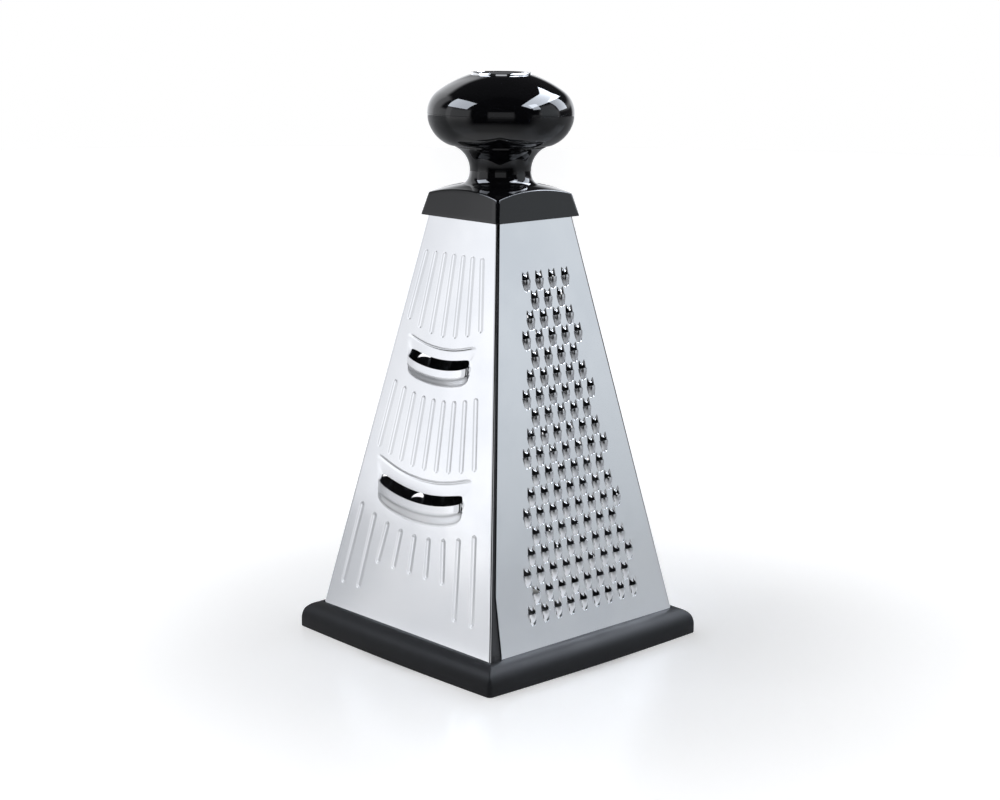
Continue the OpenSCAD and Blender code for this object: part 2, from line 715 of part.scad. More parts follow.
// Region of the upper shell, moved in by a wall
module knob_crown(wall) {
    side_x = knob_w / 2 - knob_side_r;
    crown_r = (side_x * side_x + knob_up_h * knob_up_h - knob_side_r * knob_side_r)
        / (2 * (knob_up_h - knob_side_r));
    meet_x = (crown_r - wall) * side_x / (crown_r - knob_side_r);
    intersection() {
        translate([0, crown_z - crown_r]) circle(r = crown_r - wall, $fn = 240);
        union() {
            translate([side_x, knob_mid_z]) circle(r = knob_side_r - wall);
            translate([0, knob_mid_z - over]) square([meet_x, knob_up_h + 2 * over]);
        }
    }
}
// Height of the upper shell's crown at the cap's edge
function crown_at(r) =
    let (side_x = knob_w / 2 - knob_side_r,
         crown_r = (side_x * side_x + knob_up_h * knob_up_h - knob_side_r * knob_side_r)
             / (2 * (knob_up_h - knob_side_r)))
    crown_z - crown_r + sqrt(crown_r * crown_r - r * r);
cap_top_z = crown_at(cap_r) + cap_proud;
cap_low_z = cap_top_z - cap_t;

// Upper shell of the knob, open under the cap
module knob_upper_shell() color(black) {
    rotate_extrude($fn = 96) difference() {
        intersection() {
            translate([0, knob_mid_z + fit / 2]) square([knob_w, knob_w]);
            difference() {
                knob_crown(0);
                knob_crown(knob_wall);
            }
        }
        translate([0, cap_low_z - fit / 2]) square([cap_r + fit, cap_t + knob_wall]);
        translate([0, knob_mid_z]) square([well_r, knob_up_h + over]);
    }
}

// Chromed cap with a raised rim and a ring that presses into the well
module chrome_cap() color("silver") {
    ring_r = well_r - fit;
    rotate_extrude($fn = 96) difference() {
        union() {
            translate([0, cap_low_z]) square([cap_r, cap_t - cap_rim_h]);
            translate([cap_r - cap_rim_w, cap_low_z]) square([cap_rim_w, cap_t]);
            translate([0, cap_low_z - cap_ring_h]) square([ring_r, cap_ring_h + cap_t / 2]);
        }
        translate([0, cap_low_z - cap_ring_h - over])
            square([ring_r - cap_ring_t, cap_ring_h + over]);
    }
}

// Bolt from the plug up through the collar to the nut
module tie_bolt() color("silver") {
    translate([0, 0, head_z]) hex_bar(flats_w, head_h - fit);
    translate([0, 0, head_z]) cylinder(r = bolt_r, h = nut_z + nut_h + bolt_end - head_z);
}
module washer() color("silver")
    translate([0, 0, boss_top_z]) difference() {
        cylinder(r = washer_d / 2, h = washer_t);
        translate([0, 0, -over]) cylinder(r = bolt_hole_r, h = washer_t + 2 * over);
    }
module nut() color("silver")
    translate([0, 0, nut_z]) difference() {
        hex_bar(flats_w, nut_h);
        translate([0, 0, -over]) cylinder(r = bolt_r + fit / 2, h = nut_h + 2 * over);
    }

slicer_coarse_shell();
fine_rasp_shell();
base_frame();
foot_ring();
front_seam_strip();
back_seam_strip();
top_plug();
neck_collar();
knob_lower_shell();
knob_upper_shell();
chrome_cap();
tie_bolt();
washer();
nut();
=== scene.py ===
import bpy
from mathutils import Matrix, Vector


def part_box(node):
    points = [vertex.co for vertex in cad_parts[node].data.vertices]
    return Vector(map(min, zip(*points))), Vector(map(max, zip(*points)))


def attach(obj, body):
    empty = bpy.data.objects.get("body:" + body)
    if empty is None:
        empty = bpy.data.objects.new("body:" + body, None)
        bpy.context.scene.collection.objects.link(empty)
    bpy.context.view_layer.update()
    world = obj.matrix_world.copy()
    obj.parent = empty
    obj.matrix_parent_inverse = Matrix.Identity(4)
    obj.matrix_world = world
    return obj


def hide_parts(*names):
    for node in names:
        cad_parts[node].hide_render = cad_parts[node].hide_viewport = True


bl_info = {
    "name": "Pyramid grater",
    "version": (1, 0, 0),
    "blender": (4, 5, 0),
    "location": "3D View > Sidebar > Grater",
    "description": "Dresses the packed model of a four-sided pyramid grater and sets it in a studio",
    "category": "Object",
}

import math
from types import SimpleNamespace

import bpy
import numpy as np
from bpy.props import FloatProperty, FloatVectorProperty, PointerProperty
from bpy.types import Operator, Panel, PropertyGroup
from mathutils import Matrix, Vector
from mathutils.geometry import delaunay_2d_cdt

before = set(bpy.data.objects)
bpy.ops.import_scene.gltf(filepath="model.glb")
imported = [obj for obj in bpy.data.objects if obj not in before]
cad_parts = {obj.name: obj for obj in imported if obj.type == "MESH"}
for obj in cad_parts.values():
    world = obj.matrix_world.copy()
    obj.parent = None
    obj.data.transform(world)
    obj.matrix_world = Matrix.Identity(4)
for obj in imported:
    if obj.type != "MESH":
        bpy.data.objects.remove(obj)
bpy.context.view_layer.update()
MM = 0.001
SHELL_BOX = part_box("slicer_coarse_shell")
RING_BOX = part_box("foot_ring")
COLLAR_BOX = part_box("neck_collar")
KNOB_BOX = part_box("knob_lower_shell")
CAP_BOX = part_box("chrome_cap")
# Turns about Z, in degrees, of the first face of each sheet, and of the camera round the object
SLICER, RASP = 0, 180
CAMERA_TURN = 46.858


# Sizes and colours


def length(name, description, default, low, high):
    """A length in metres that the panel shows in the scene's unit."""
    return FloatProperty(name=name, description=description, default=default,
                         min=low, max=high, unit="LENGTH", precision=5)


def colour(name, description, default):
    """A colour, linear red, green and blue."""
    return FloatVectorProperty(name=name, description=description, default=default,
                               size=3, min=0.0, max=1.0, subtype="COLOR")


def share(name, description, default, high=1.0):
    """A plain factor, such as a roughness."""
    return FloatProperty(name=name, description=description, default=default, min=0.0, max=high,
                         subtype="FACTOR" if high == 1.0 else "NONE", precision=3)


class GraterSizes(PropertyGroup):
    """Lengths of the dressed pieces, in metres."""
    body_w: length("Body width", "Width across opposite faces at the table line", 0.1117, 0.095, 0.13)
    body_top_w: length("Top width", "Width across opposite faces at the folded top", 0.0415, 0.036, 0.05)
    body_h: length("Body height", "Height of the steel's folded top", SHELL_BOX[1].z, 0.17, 0.2)
    sheet_foot_z: length("Steel's lower edge", "Height of that edge", SHELL_BOX[0].z, 0.003, 0.006)
    sheet_t: length("Sheet", "Thickness of the steel sheet", 0.0005, 0.0004, 0.0007)
    bend_r: length("Bend", "Outer radius of a shell's bend", 0.002, 0.0014, 0.003)
    seam_r: length("Turned edge", "Outer radius of the edge turned at a seam", 0.0016, 0.0012, 0.0018)
    seam_gap_top: length("Seam at the top", "Plain edge to the corner, at the top", 0.00125, 0.001, 0.002)
    seam_gap_foot: length("Seam at the foot", "Plain edge to the corner, at the foot", 0.0026, 0.0018, 0.0035)
    relief_w: length("Relief width", "Plain edge to the corner, in its relief", 0.0061, 0.004, 0.008)
    relief_h: length("Relief height", "Height at which the relief begins", 0.036, 0.02, 0.05)
    pattern_shift: length("Pattern shift", "Shift of the patterns off the front seam", 0.0014, 0.0, 0.003)
    slot_gap: length("Slot gap", "Height of the slots", 0.0043, 0.003, 0.006)
    lip_lift: length("Lip height", "Height of the slicing lips above the face", 0.0016, 0.001, 0.0025)
    ramp_depth: length("Ramp depth", "Depth of the bend above each slot", 0.00006, 0.0, 0.0004)
    crease_depth: length("Crease depth", "Depth of the crease above each slot", 0.00015, 0.0001, 0.0004)
    rib_w: length("Rib width", "Width of the pressed ribs", 0.0028, 0.0015, 0.0035)
    rib_h: length("Rib depth", "Depth to which the ribs are pressed in", 0.0002, 0.0001, 0.0004)
    fine_pitch: length("Fine pitch", "Sideways pitch of the fine teeth", 0.00745, 0.0065, 0.009)
    fine_row: length("Fine rows", "Pitch of the rows of fine teeth along the face", 0.0079, 0.0075, 0.0086)
    fine_low_z: length("Lowest fine row", "Height of the lowest fine teeth", 0.0254, 0.022, 0.03)
    coarse_pitch: length("Coarse pitch", "Sideways pitch of the coarse teeth", 0.013, 0.012, 0.015)
    coarse_row: length("Coarse rows", "Pitch of the coarse rows along the face", 0.0135, 0.012, 0.015)
    coarse_low_z: length("Lowest coarse row", "Height of the lowest coarse teeth", 0.0235, 0.022, 0.03)
    rasp_pitch: length("Rasp pitch", "Sideways pitch of the burst holes", 0.0078, 0.007, 0.01)
    rasp_row: length("Rasp rows", "Pitch of the rows of burst holes along the face", 0.0069, 0.006, 0.009)
    ring_half: length("Ring half width", "Half width at the middle of its sides", RING_BOX[1].x, 0.05, 0.08)
    ring_bow: length("Ring bow", "Bow of the foot ring's sides", 0.0013, 0.0005, 0.003)
    ring_side_h: length("Ring side", "Height of the foot ring's upright side", 0.0036, 0.002, 0.005)
    ring_shoulder_r: length("Ring shoulder", "Radius of the foot ring's shoulder", 0.0076, 0.006, 0.009)
    collar_low_z: length("Collar's lower edge", "Height of that edge", COLLAR_BOX[0].z, 0.17, 0.19)
    collar_half: length("Collar half width", "Half width at the lower edge", COLLAR_BOX[1].x, 0.018, 0.03)
    collar_taper: length("Collar taper", "Inset of the upper edge from the lower one", 0.0023, 0.001, 0.004)
    crown_z: length("Collar's crown", "Height of the collar's domed top at its middle", 0.1954, 0.19, 0.2)
    neck_r: length("Neck radius", "Radius of the neck at its waist", 0.0128, 0.011, 0.014)
    waist_z: length("Waist", "Height of the neck's waist", 0.1999, 0.195, 0.205)
    neck_curve_r: length("Neck curve", "Radius of the neck's hollow curve", 0.0105, 0.009, 0.014)
    seat_z: length("Seat", "Height of the knob's seat", COLLAR_BOX[1].z, 0.2, 0.22)
    knob_r: length("Knob radius", "Radius of the knob at its widest", KNOB_BOX[1].x, 0.028, 0.035)
    knob_mid_z: length("Knob's middle", "Height of its widest place", KNOB_BOX[1].z - 0.0014, 0.21, 0.24)
    cap_r: length("Cap radius", "Radius of the chromed cap", CAP_BOX[1].x, 0.01, 0.016)
    cap_top_z: length("Cap's top", "Height of the chromed cap's rim", CAP_BOX[1].z, 0.22, 0.25)


class GraterColours(PropertyGroup):
    """Colours and roughness of the finishes."""
    steel: colour("Steel", "Colour of the bright steel sheet", (0.80, 0.806, 0.82))
    steel_shade: colour("Steel, darker", "Colour of the faint patches in the steel", (0.75, 0.76, 0.78))
    steel_rough: share("Steel roughness", "Roughness of the steel sheet", 0.10)
    # The back's dark colour is painted shade: it stands for the shade inside the body and on the sheet's cut
    # edges.
    steel_inside: colour("Steel inside", "Colour of the sheet's unpolished back", (0.16, 0.162, 0.168))
    gloss_black: colour("Gloss black", "Colour of the collar, neck and knob", (0.0035, 0.0036, 0.0045))
    gloss_rough: share("Gloss roughness", "Roughness of the collar, neck and knob", 0.035)
    # On the seam strips this black is painted shade: they fill the seams where there is only shade.
    matte_black: colour("Matte black", "Colour of the frame, the strips and the plug", (0.008, 0.008, 0.009))
    rubber: colour("Rubber", "Colour of the soft foot ring", (0.0105, 0.011, 0.0127))
    rubber_rough: share("Rubber roughness", "Roughness of the soft foot ring", 0.5)
    chrome: colour("Chrome", "Colour of the chromed cap", (0.88, 0.89, 0.90))
    zinc: colour("Zinc", "Colour of the plated bolt, washer and nut", (0.62, 0.63, 0.65))
    floor: colour("Floor", "Colour of the studio floor", (0.80, 0.81, 0.83))


class StudioLights(PropertyGroup):
    """Levels of the studio's light, where 1 shows white as white."""
    left_wall: share("Left wall", "Level of the pale wall at the camera's left", 1.32, 4.0)
    right_wall: share("Right wall", "Level of the pale wall at the camera's right", 0.86, 4.0)
    back_wall: share("Back wall", "Level of the pale wall behind the object", 1.35, 4.0)
    front_card: share("Front card", "Level of the pale card round the camera", 0.5, 4.0)
    ceiling: share("Ceiling", "Level of the dark ceiling", 0.035, 4.0)
    box_shine: share("Softbox shine", "Level of the softboxes where they shine in glossy pieces", 13.0, 40.0)
    box_light: share("Softbox light", "Level at which the softboxes light dull surfaces", 3.4, 10.0)


def in_mm(group):
    """The group's lengths in millimetres, the unit that every shape below is worked out in."""
    names = [p.identifier for p in group.bl_rna.properties if p.type == "FLOAT"]
    return SimpleNamespace(**{name: getattr(group, name) / MM for name in names})


def body(context):
    """Sizes in millimetres, with the lean of the faces and what follows from it."""
    s = in_mm(context.scene.grater_sizes)
    s.slope = (s.body_w - s.body_top_w) / 2 / s.body_h
    s.lean = math.atan(s.slope)
    s.half = lambda z: s.body_w / 2 - z * s.slope
    s.up = lambda z: z / math.cos(s.lean)
    s.gap = lambda z: s.seam_gap_foot + (s.seam_gap_top - s.seam_gap_foot) * z / s.body_h
    return s


# Points, faces and meshes


def turned(x, y, turn):
    """Plan points turned about Z by an angle in degrees."""
    c, d = math.cos(math.radians(turn)), math.sin(math.radians(turn))
    return c * x - d * y, d * x + c * y


def on_circle(angle):
    """Plan points of the unit circle at angles in radians."""
    return np.stack([np.cos(angle), np.sin(angle)], -1)


def on_face(points, turn, s):
    """Takes points of a face, given across, up along it and out of it, to the object's frame: the face
    is leaned back about the table line, moved out by half the body's width and turned about Z."""
    x, y, n = np.moveaxis(points, -1, 0)
    out = s.body_w / 2 - y * math.sin(s.lean) + n * math.cos(s.lean)
    z = y * math.cos(s.lean) + n * math.sin(s.lean)
    return np.stack([*turned(x, -out, turn), z], -1)


def grid(rows, cols, wrap_rows=False, wrap_cols=False):
    """Triangles of a grid of points numbered row by row, whose normal is columns' way times rows' way."""
    i = np.arange(rows if wrap_rows else rows - 1)[:, None]
    j = np.arange(cols if wrap_cols else cols - 1)[None, :]
    near, far, right = i * cols, (i + 1) % rows * cols, (j + 1) % cols
    a, b, c, d = near + j, near + right, far + right, far + j
    return np.stack([a, b, c, a, c, d], -1).reshape(-1, 3)


def weld(points, tris, grain=1e-4):
    """Joins points that are nearer than the grain, and leaves out triangles that this makes into lines."""
    _, first, same = np.unique(np.round(points / grain).astype(np.int64), axis=0,
                               return_index=True, return_inverse=True)
    tris = same.ravel()[tris]
    kept = (tris[:, 0] != tris[:, 1]) & (tris[:, 1] != tris[:, 2]) & (tris[:, 2] != tris[:, 0])
    return points[first], tris[kept], kept


def joined(*parts):
    """Several pairs of points and triangles as one pair."""
    starts = np.cumsum([0] + [len(points) for points, _ in parts[:-1]])
    return (np.concatenate([points for points, _ in parts]),
            np.concatenate([tris + start for (_, tris), start in zip(parts, starts)]))


def open_edges(points, tris):
    """Edges that only one triangle has."""
    edges = np.concatenate([tris[:, [0, 1]], tris[:, [1, 2]], tris[:, [2, 0]]])
    low, high = edges.min(1), edges.max(1)
    _, first, count = np.unique(low * len(points) + high, return_index=True, return_counts=True)
    return edges[first[count == 1]]


def thicken(points, tris, depth):
    """A skin with its copy set back along the points' normals by the depth, the copy turned over,
    and a rim between the two along every open edge."""
    corners = points[tris]
    face_normal = np.cross(corners[:, 1] - corners[:, 0], corners[:, 2] - corners[:, 0])
    normal = np.zeros_like(points)
    for corner in range(3):
        np.add.at(normal, tris[:, corner], face_normal)
    normal /= np.linalg.norm(normal, axis=1, keepdims=True)
    n = len(points)
    a, b = open_edges(points, tris).T
    rim = np.concatenate([np.stack([b, a, a + n], 1), np.stack([b, a + n, b + n], 1)])
    return (np.concatenate([points, points - depth * normal]),
            np.concatenate([tris, tris[:, ::-1] + n, rim]))


def put_piece(name, points, tris, materials, node, slot, sharp=35.0, finish_of=None):
    """Makes a mesh object from points in millimetres and triangles, shades it smooth but for edges
    sharper than the angle, and puts it in the place of a CAD node. A piece with several finishes
    says which one each triangle has."""
    points, tris, kept = weld(points, tris)
    if len(open_edges(points, tris)):
        raise RuntimeError(name + " isn't closed")
    mesh = bpy.data.meshes.new(name)
    mesh.vertices.add(len(points))
    mesh.vertices.foreach_set("co", (points * MM).astype(np.float32).ravel())
    mesh.loops.add(tris.size)
    mesh.loops.foreach_set("vertex_index", tris.astype(np.int32).ravel())
    mesh.polygons.add(len(tris))
    mesh.polygons.foreach_set("loop_start", np.arange(len(tris), dtype=np.int32) * 3)
    mesh.update(calc_edges=True)
    mesh.shade_smooth()
    mesh.set_sharp_from_angle(angle=math.radians(sharp))
    for material in materials:
        mesh.materials.append(material)
    if finish_of is not None:
        mesh.polygons.foreach_set("material_index", finish_of[kept].astype(np.int32))
    piece = bpy.data.objects.new(name, mesh)
    bpy.context.scene.collection.objects.link(piece)
    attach(piece, "root")
    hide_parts(node)


# The steel sheets: patches with pressed forms, set into flat faces


def ring_patch(rings):
    """Patch from closed rings of points, the innermost first: points, triangles and border."""
    rows, cols = rings.shape[:2]
    return (rings.reshape(-1, 3), grid(rows, cols, wrap_cols=True)[:, ::-1],
            np.arange(cols) + (rows - 1) * cols)


def grid_patch(points):
    """Patch from a grid of points, rows up and columns across: points, triangles and border."""
    rows, cols = points.shape[:2]
    index = np.arange(rows * cols).reshape(rows, cols)
    border = np.concatenate([index[0, :-1], index[:-1, -1], index[-1, :0:-1], index[:0:-1, 0]])
    return points.reshape(-1, 3), grid(rows, cols), border


def copies(patch, places):
    """The same patch at many places on the face: points, triangles and one border for each place."""
    points, tris, border = patch
    starts = np.arange(len(places))[:, None] * len(points)
    moved = points[None] + np.pad(places, ((0, 0), (0, 1)))[:, None]
    return (moved.reshape(-1, 3), (tris[None] + starts[..., None]).reshape(-1, 3), border + starts)


def face_sheet(outline, patch_sets, turn, s):
    """A flat face filled with triangles between its outline and the borders of the patches set in it,
    with the patches, in the object's frame."""
    patches = joined(*[(points, tris) for points, tris, _ in patch_sets])
    loops = [outline]
    for points, _, borders in patch_sets:
        loops += list(points[borders][..., :2])
    flat = np.concatenate(loops)
    sizes = np.array([len(loop) for loop in loops])
    firsts = np.cumsum(sizes) - sizes
    wanted = [list(range(first, first + size)) for first, size in zip(firsts, sizes)]
    made = delaunay_2d_cdt([Vector(p) for p in flat], [], wanted, 1, 1e-5, True)
    origin = [ids[0] if ids else -1 for ids in made[3]]
    fill = np.array([tri for tri, inside in zip(made[2], made[5]) if set(inside) == {0}])
    fill = np.array(origin)[fill]
    if fill.min() < 0:
        raise RuntimeError("the borders of two pressed forms cross")
    a, b, c = (flat[fill[:, k]] for k in range(3))
    if np.cross(b - a, c - a).mean() < 0:
        fill = fill[:, ::-1]
    points, tris = joined((np.pad(flat, ((0, 0), (0, 1))), fill), patches)
    return on_face(points, turn, s), tris


# Half width, height and length of a tooth's nose, height of its hole, width and depth of the dip
# above it, share of the horns, height of the tongue between them, and depth of the moat
FINE_TOOTH = dict(r=1.95, rise=1.6, length_down=4.6, hole=2.7, dish=1.3, depth=0.6,
                  horn=1.0, tongue=0.4, moat=0.08, steps=24, rings=7)
COARSE_TOOTH = dict(r=4.1, rise=2.3, length_down=7.7, hole=3.6, dish=2.0, depth=0.5,
                    horn=0.0, tongue=0.0, moat=0.1, steps=36, rings=10)


def tooth(r, rise, length_down, hole, dish, depth, horn, tongue, moat, steps, rings):
    """Pressed tooth on rings from the rim of its hole to the flat sheet. Below the rim the nose is a
    half ellipse across, whose width and height shrink towards its toe, with a moat round it where the
    sheet is pulled in. Above it the sheet dips to the hole, which a tongue between two horns parts
    where the tooth has them."""
    t = 2 * np.pi * (np.arange(steps) + 0.5) / steps
    c, d = np.cos(t), np.abs(np.sin(t))
    below = np.sin(t) < 0
    rise_angle = np.degrees(np.arcsin(d))
    two_horns = np.exp(-((rise_angle - 52) / 17) ** 2)
    middle = np.exp(-((rise_angle - 90) / 22) ** 2)
    nose_w, toe_narrower, toe_power = 1.05, 0.22, 3.08
    rim_top = hole * ((1 - 0.5 * horn) * d ** 0.8 + 0.72 * horn * two_horns)
    rim = np.stack([r * c, np.where(below, 0.10 * r * d, rim_top)], -1)
    round_c, round_d = np.sign(c) * np.abs(c) ** 0.65, d ** 0.65
    foot_y = np.where(below, -length_down * round_d, rim_top + dish * d * (1 - 0.35 * horn * two_horns))
    foot_x = r * np.where(below, round_c * (nose_w - toe_narrower * round_d),
                          c * (1.12 + 0.25 * horn * two_horns))
    foot = np.stack([foot_x, foot_y], -1)
    share_out = (1 - (1 - np.linspace(0, 1, rings)) ** 1.6)[:, None]
    plan = rim[None] * (1 - share_out[..., None]) + foot[None] * share_out[..., None]
    down = np.clip(-plan[..., 1] / length_down, 0, 1)
    wide = r * (nose_w - toe_narrower * down) * np.clip(1 - down ** toe_power, 1e-6, 1) ** (1 / toe_power)
    arch = np.sqrt(np.clip(1 - (plan[..., 0] / wide) ** 2, 0, 1))
    nose = rise * (1 - down ** 2) * arch * np.sqrt(np.clip(1 - share_out ** 6, 0, 1))
    dip = (1 - share_out) ** 1.4 * (tongue * middle - depth * d ** 0.5 * (1 - middle * horn))
    height = np.where(below, nose, dip)
    moat_middle, moat_end, border = 0.16, 0.34, 0.43
    outward = np.array([moat_middle, moat_end, border])[:, None] / np.linalg.norm(foot, axis=-1)
    beyond = foot * (1 + outward)[..., None]
    pulled_in = np.stack([np.where(below, -moat, 0.0), np.zeros(steps), np.zeros(steps)])
    return ring_patch(np.concatenate([np.dstack([plan, height]), np.dstack([beyond, pulled_in])]))


def burst_hole(foot_r, top_r, rise, steps=12):
    """Burst hole: a crown of sheet round a punched hole, from a torn rim of three points out to the face."""
    t = 2 * np.pi * np.arange(steps) / steps
    border = 0.2
    radius = top_r + np.array([0, 0.25, 0.6, 1, 1]) * (foot_r - top_r) + np.array([0, 0, 0, 0, border])
    height = rise * np.array([1.0, 0.72, 0.22, 0.0, 0.0])
    torn = np.array([0.22, 0.1, 0.0, 0.0, 0.0])[:, None] * rise * np.cos(3 * t)
    return ring_patch(np.dstack([radius[:, None, None] * on_circle(t), height[:, None] + torn]))


def rib(start, end, width, depth):
    """Rib pressed in along a line: its depth falls with the distance from the line, as the square of one
    less the fourth power of the share of its half width, so its floor is almost level."""
    start, end = np.array(start), np.array(end)
    run = np.linalg.norm(end - start)
    way = (end - start) / run
    side = np.array([way[1], -way[0]])
    half = width / 2
    ends = half * np.array([-1.25, -1.0, -0.85, -0.7, -0.5, -0.25, 0.0])
    along = np.concatenate([ends, [0.5 * run], run - ends[::-1]])
    across = half * np.array([-1.25, -1.0, -0.85, -0.7, -0.5, -0.25, 0.0, 0.25, 0.5, 0.7, 0.85, 1.0, 1.25])
    past = np.maximum(np.maximum(-along, along - run), 0)
    reach = np.clip(np.hypot(past[:, None], across[None, :]) / half, 0, 1)
    plan = start + along[:, None, None] * way + across[None, :, None] * side
    points, tris, border = grid_patch(np.dstack([plan, -depth * (1 - reach ** 4) ** 2]))
    return points, tris, border[None]


def rounded_box(t, half_w, half_h, power):
    """Outline between an ellipse and a box: the cosine and sine raised to two over the power."""
    c, d = np.cos(t), np.sin(t)
    return np.stack([half_w * np.sign(c) * np.abs(c) ** (2 / power),
                     half_h * np.sign(d) * np.abs(d) ** (2 / power)], -1)


# Height of each blade, radius that it is bent to, lengths of the slot, lip and crease, and the
# crease's distance from the blade
LOW_SLOT = dict(blade_z=64.3, curve_r=84, slot_l=53.6, lip_l=8.7, crease_l=68, crease_out=9.4)
HIGH_SLOT = dict(blade_z=119.4, curve_r=66, slot_l=38.4, lip_l=7.6, crease_l=49, crease_out=8.6)


def slicing_slot(s, blade_z, curve_r, slot_l, lip_l, crease_l, crease_out):
    """Slot with a raised lip under it and a crease above it, bent round the curve's centre. The lip is a
    tray: almost level from its edge, then a flank that falls as a cosine, then a soft toe. The crease
    is a groove whose depth falls as a bell curve from its line and fades at its ends."""
    share_x = np.sin(np.linspace(-np.pi / 2, np.pi / 2, 45))
    t = np.concatenate([np.arccos(share_x[::-1] ** 3), 2 * np.pi - np.arccos(share_x[1:-1] ** 3)])
    below = np.sin(t) < -1e-9
    half_gap, line, line_w, end_room, lip_inset = s.slot_gap / 2, 0.84, 0.07, 1.8, 1.2
    tray_end, flank, fade_from, fade_l = 0.42, 0.50, 4.5, 5.0
    rim = rounded_box(t, slot_l / 2, half_gap, 6) + [0, half_gap]
    lip = rounded_box(t, slot_l / 2 - lip_inset, lip_l, 5.5)
    sheet = rounded_box(t, slot_l / 2 + (crease_l - slot_l) / 2 / line,
                        s.slot_gap + (crease_out - s.slot_gap) / line, 12)
    foot = np.where(below[:, None], lip, sheet)
    foot[np.abs(np.sin(t)) < 1e-6] = [[slot_l / 2 + end_room, 0], [-slot_l / 2 - end_room, 0]]
    share_out = np.array([0, .08, .17, .28, .38, .47, .55, .62, .69, .75, .80, line, .88, .93, 1])[:, None]
    plan = rim[None] * (1 - share_out[..., None]) + foot[None] * share_out[..., None]
    to_end = np.abs(rim[:, 0] / (slot_l / 2))
    down_flank = np.clip((share_out - tray_end) / flank, 0, 1)
    tray = (1 - 0.12 * share_out) * (0.5 + 0.5 * np.cos(np.pi * down_flank))
    lip_height = s.lip_lift * tray * np.clip(1 - to_end ** 14, 0, 1) ** 0.5
    at_top = np.clip((plan[..., 1] / crease_out - 0.78) / 0.2, 0, 1)
    crease = np.exp(-((share_out - line) / line_w) ** 2) * (share_out < 1) * at_top
    past = np.clip((np.abs(plan[..., 0]) - crease_l / 2 + fade_from) / fade_l, 0, 1)
    fall = (s.ramp_depth * (1 - share_out) ** 2 + s.crease_depth * crease) * (1 - past ** 2 * (3 - 2 * past))
    height = np.where(below, lip_height, -fall)
    centre = plan.mean(axis=(0, 1))
    borders = np.array([[0.35 / slot_l, 0.03], [0.9 / slot_l, 0.06]])
    flat = foot + (foot - centre) * borders[:, None]
    bent = np.concatenate([np.dstack([plan, height]), np.dstack([flat, np.zeros((2, len(t)))])])
    turn, radius = bent[..., 0] / curve_r, curve_r - bent[..., 1]
    x = radius * np.sin(turn) - s.pattern_shift
    y = s.up(blade_z) + curve_r - radius * np.cos(turn)
    points, tris, border = ring_patch(np.stack([x, y, bent[..., 2]], -1))
    return points, tris, border[None]


def rib_fan(places, upper_pitch, upper_z, lower_pitch, lower_z, depth, s):
    """Ribs side by side, from upper ends to lower ends that are given as heights above the table."""
    return [rib([i * upper_pitch - s.pattern_shift, s.up(high)],
                [i * lower_pitch - s.pattern_shift, s.up(low)], s.rib_w, depth)
            for i, high, low in zip(places, upper_z, lower_z)]


def slicing_patches(s):
    """Two slots and three fans of ribs, of which the two upper ones are shallower."""
    seven, nine = np.arange(-3, 4), np.arange(-4, 5)
    shallow, short_end, long_end = 0.7 * s.rib_h, 36.0, 23.3
    top = rib_fan(seven, 5.7, np.full(7, 165.5), 7.3, 133.8 + 0.52 * seven ** 2, shallow, s)
    middle = rib_fan(nine, 6.3, 106.1 + 0.26 * nine ** 2, 7.45, 79.0 + 0.3 * nine ** 2, shallow, s)
    lower_ends = np.where(np.abs(nine) > 2, long_end, short_end)
    foot = rib_fan(nine, 8.9, 49.7 + 0.43 * nine ** 2, 10.25, lower_ends, s.rib_h, s)
    return [slicing_slot(s, **LOW_SLOT), slicing_slot(s, **HIGH_SLOT)] + top + middle + foot


def staggered(s, pitch, row_pitch, low_z, margin, first):
    """Places of rows that are shifted by half a pitch in turn, as many as the face has room for. The
    lowest is shifted if first is 1."""
    last = int((s.collar_low_z - margin - low_z) / (row_pitch * math.cos(s.lean)))
    rows = []
    for row in range(last + 1):
        y, odd = s.up(low_z) + row * row_pitch, (row + first) % 2
        steps = int(math.floor((s.half(y * math.cos(s.lean)) - margin) / pitch - odd / 2))
        if steps >= 0:
            x = (np.arange(-steps - odd, steps + 1) + odd / 2) * pitch
            rows.append(np.stack([x, np.full(len(x), y)], 1))
    return np.concatenate(rows)


def fine_places(s):
    """Places of the fine teeth: groups of three rows, each group one tooth narrower than the one below."""
    rows = []
    for group in range(6):
        for row in range(3):
            count = 9 - group - row % 2
            x = s.pattern_shift + (np.arange(count) - (count - 1) / 2) * s.fine_pitch
            y = s.up(s.fine_low_z) + (3 * group + row) * s.fine_row
            rows.append(np.stack([x, np.full(count, y)], 1))
    return np.concatenate(rows)


def face_outline(left, right, s):
    """Outline of a face that stops short of its corners by two insets. With no inset at its left, that
    side is the seam's plain edge, whose gap widens downwards and runs out in a relief at the foot."""
    low, high = s.sheet_foot_z, s.body_h
    y = np.array([low, high])
    right_side = np.stack([s.half(y) - right, s.up(y)], 1)
    if left is None:
        start = s.up(s.relief_h)
        knee = [s.relief_w - s.half(0) + start / 3 * math.sin(s.lean), start / 3]
        foot = [s.relief_w - s.half(0) + s.up(low) * math.sin(s.lean) * 0.9, s.up(low)]
        begin = [s.gap(s.relief_h) - s.half(s.relief_h), start]
        left_side = np.array([[s.gap(high) - s.half(high), s.up(high)], begin, knee, foot])
    else:
        left_side = np.stack([left - s.half(y), s.up(y)], 1)[::-1]
    return np.concatenate([right_side, left_side])


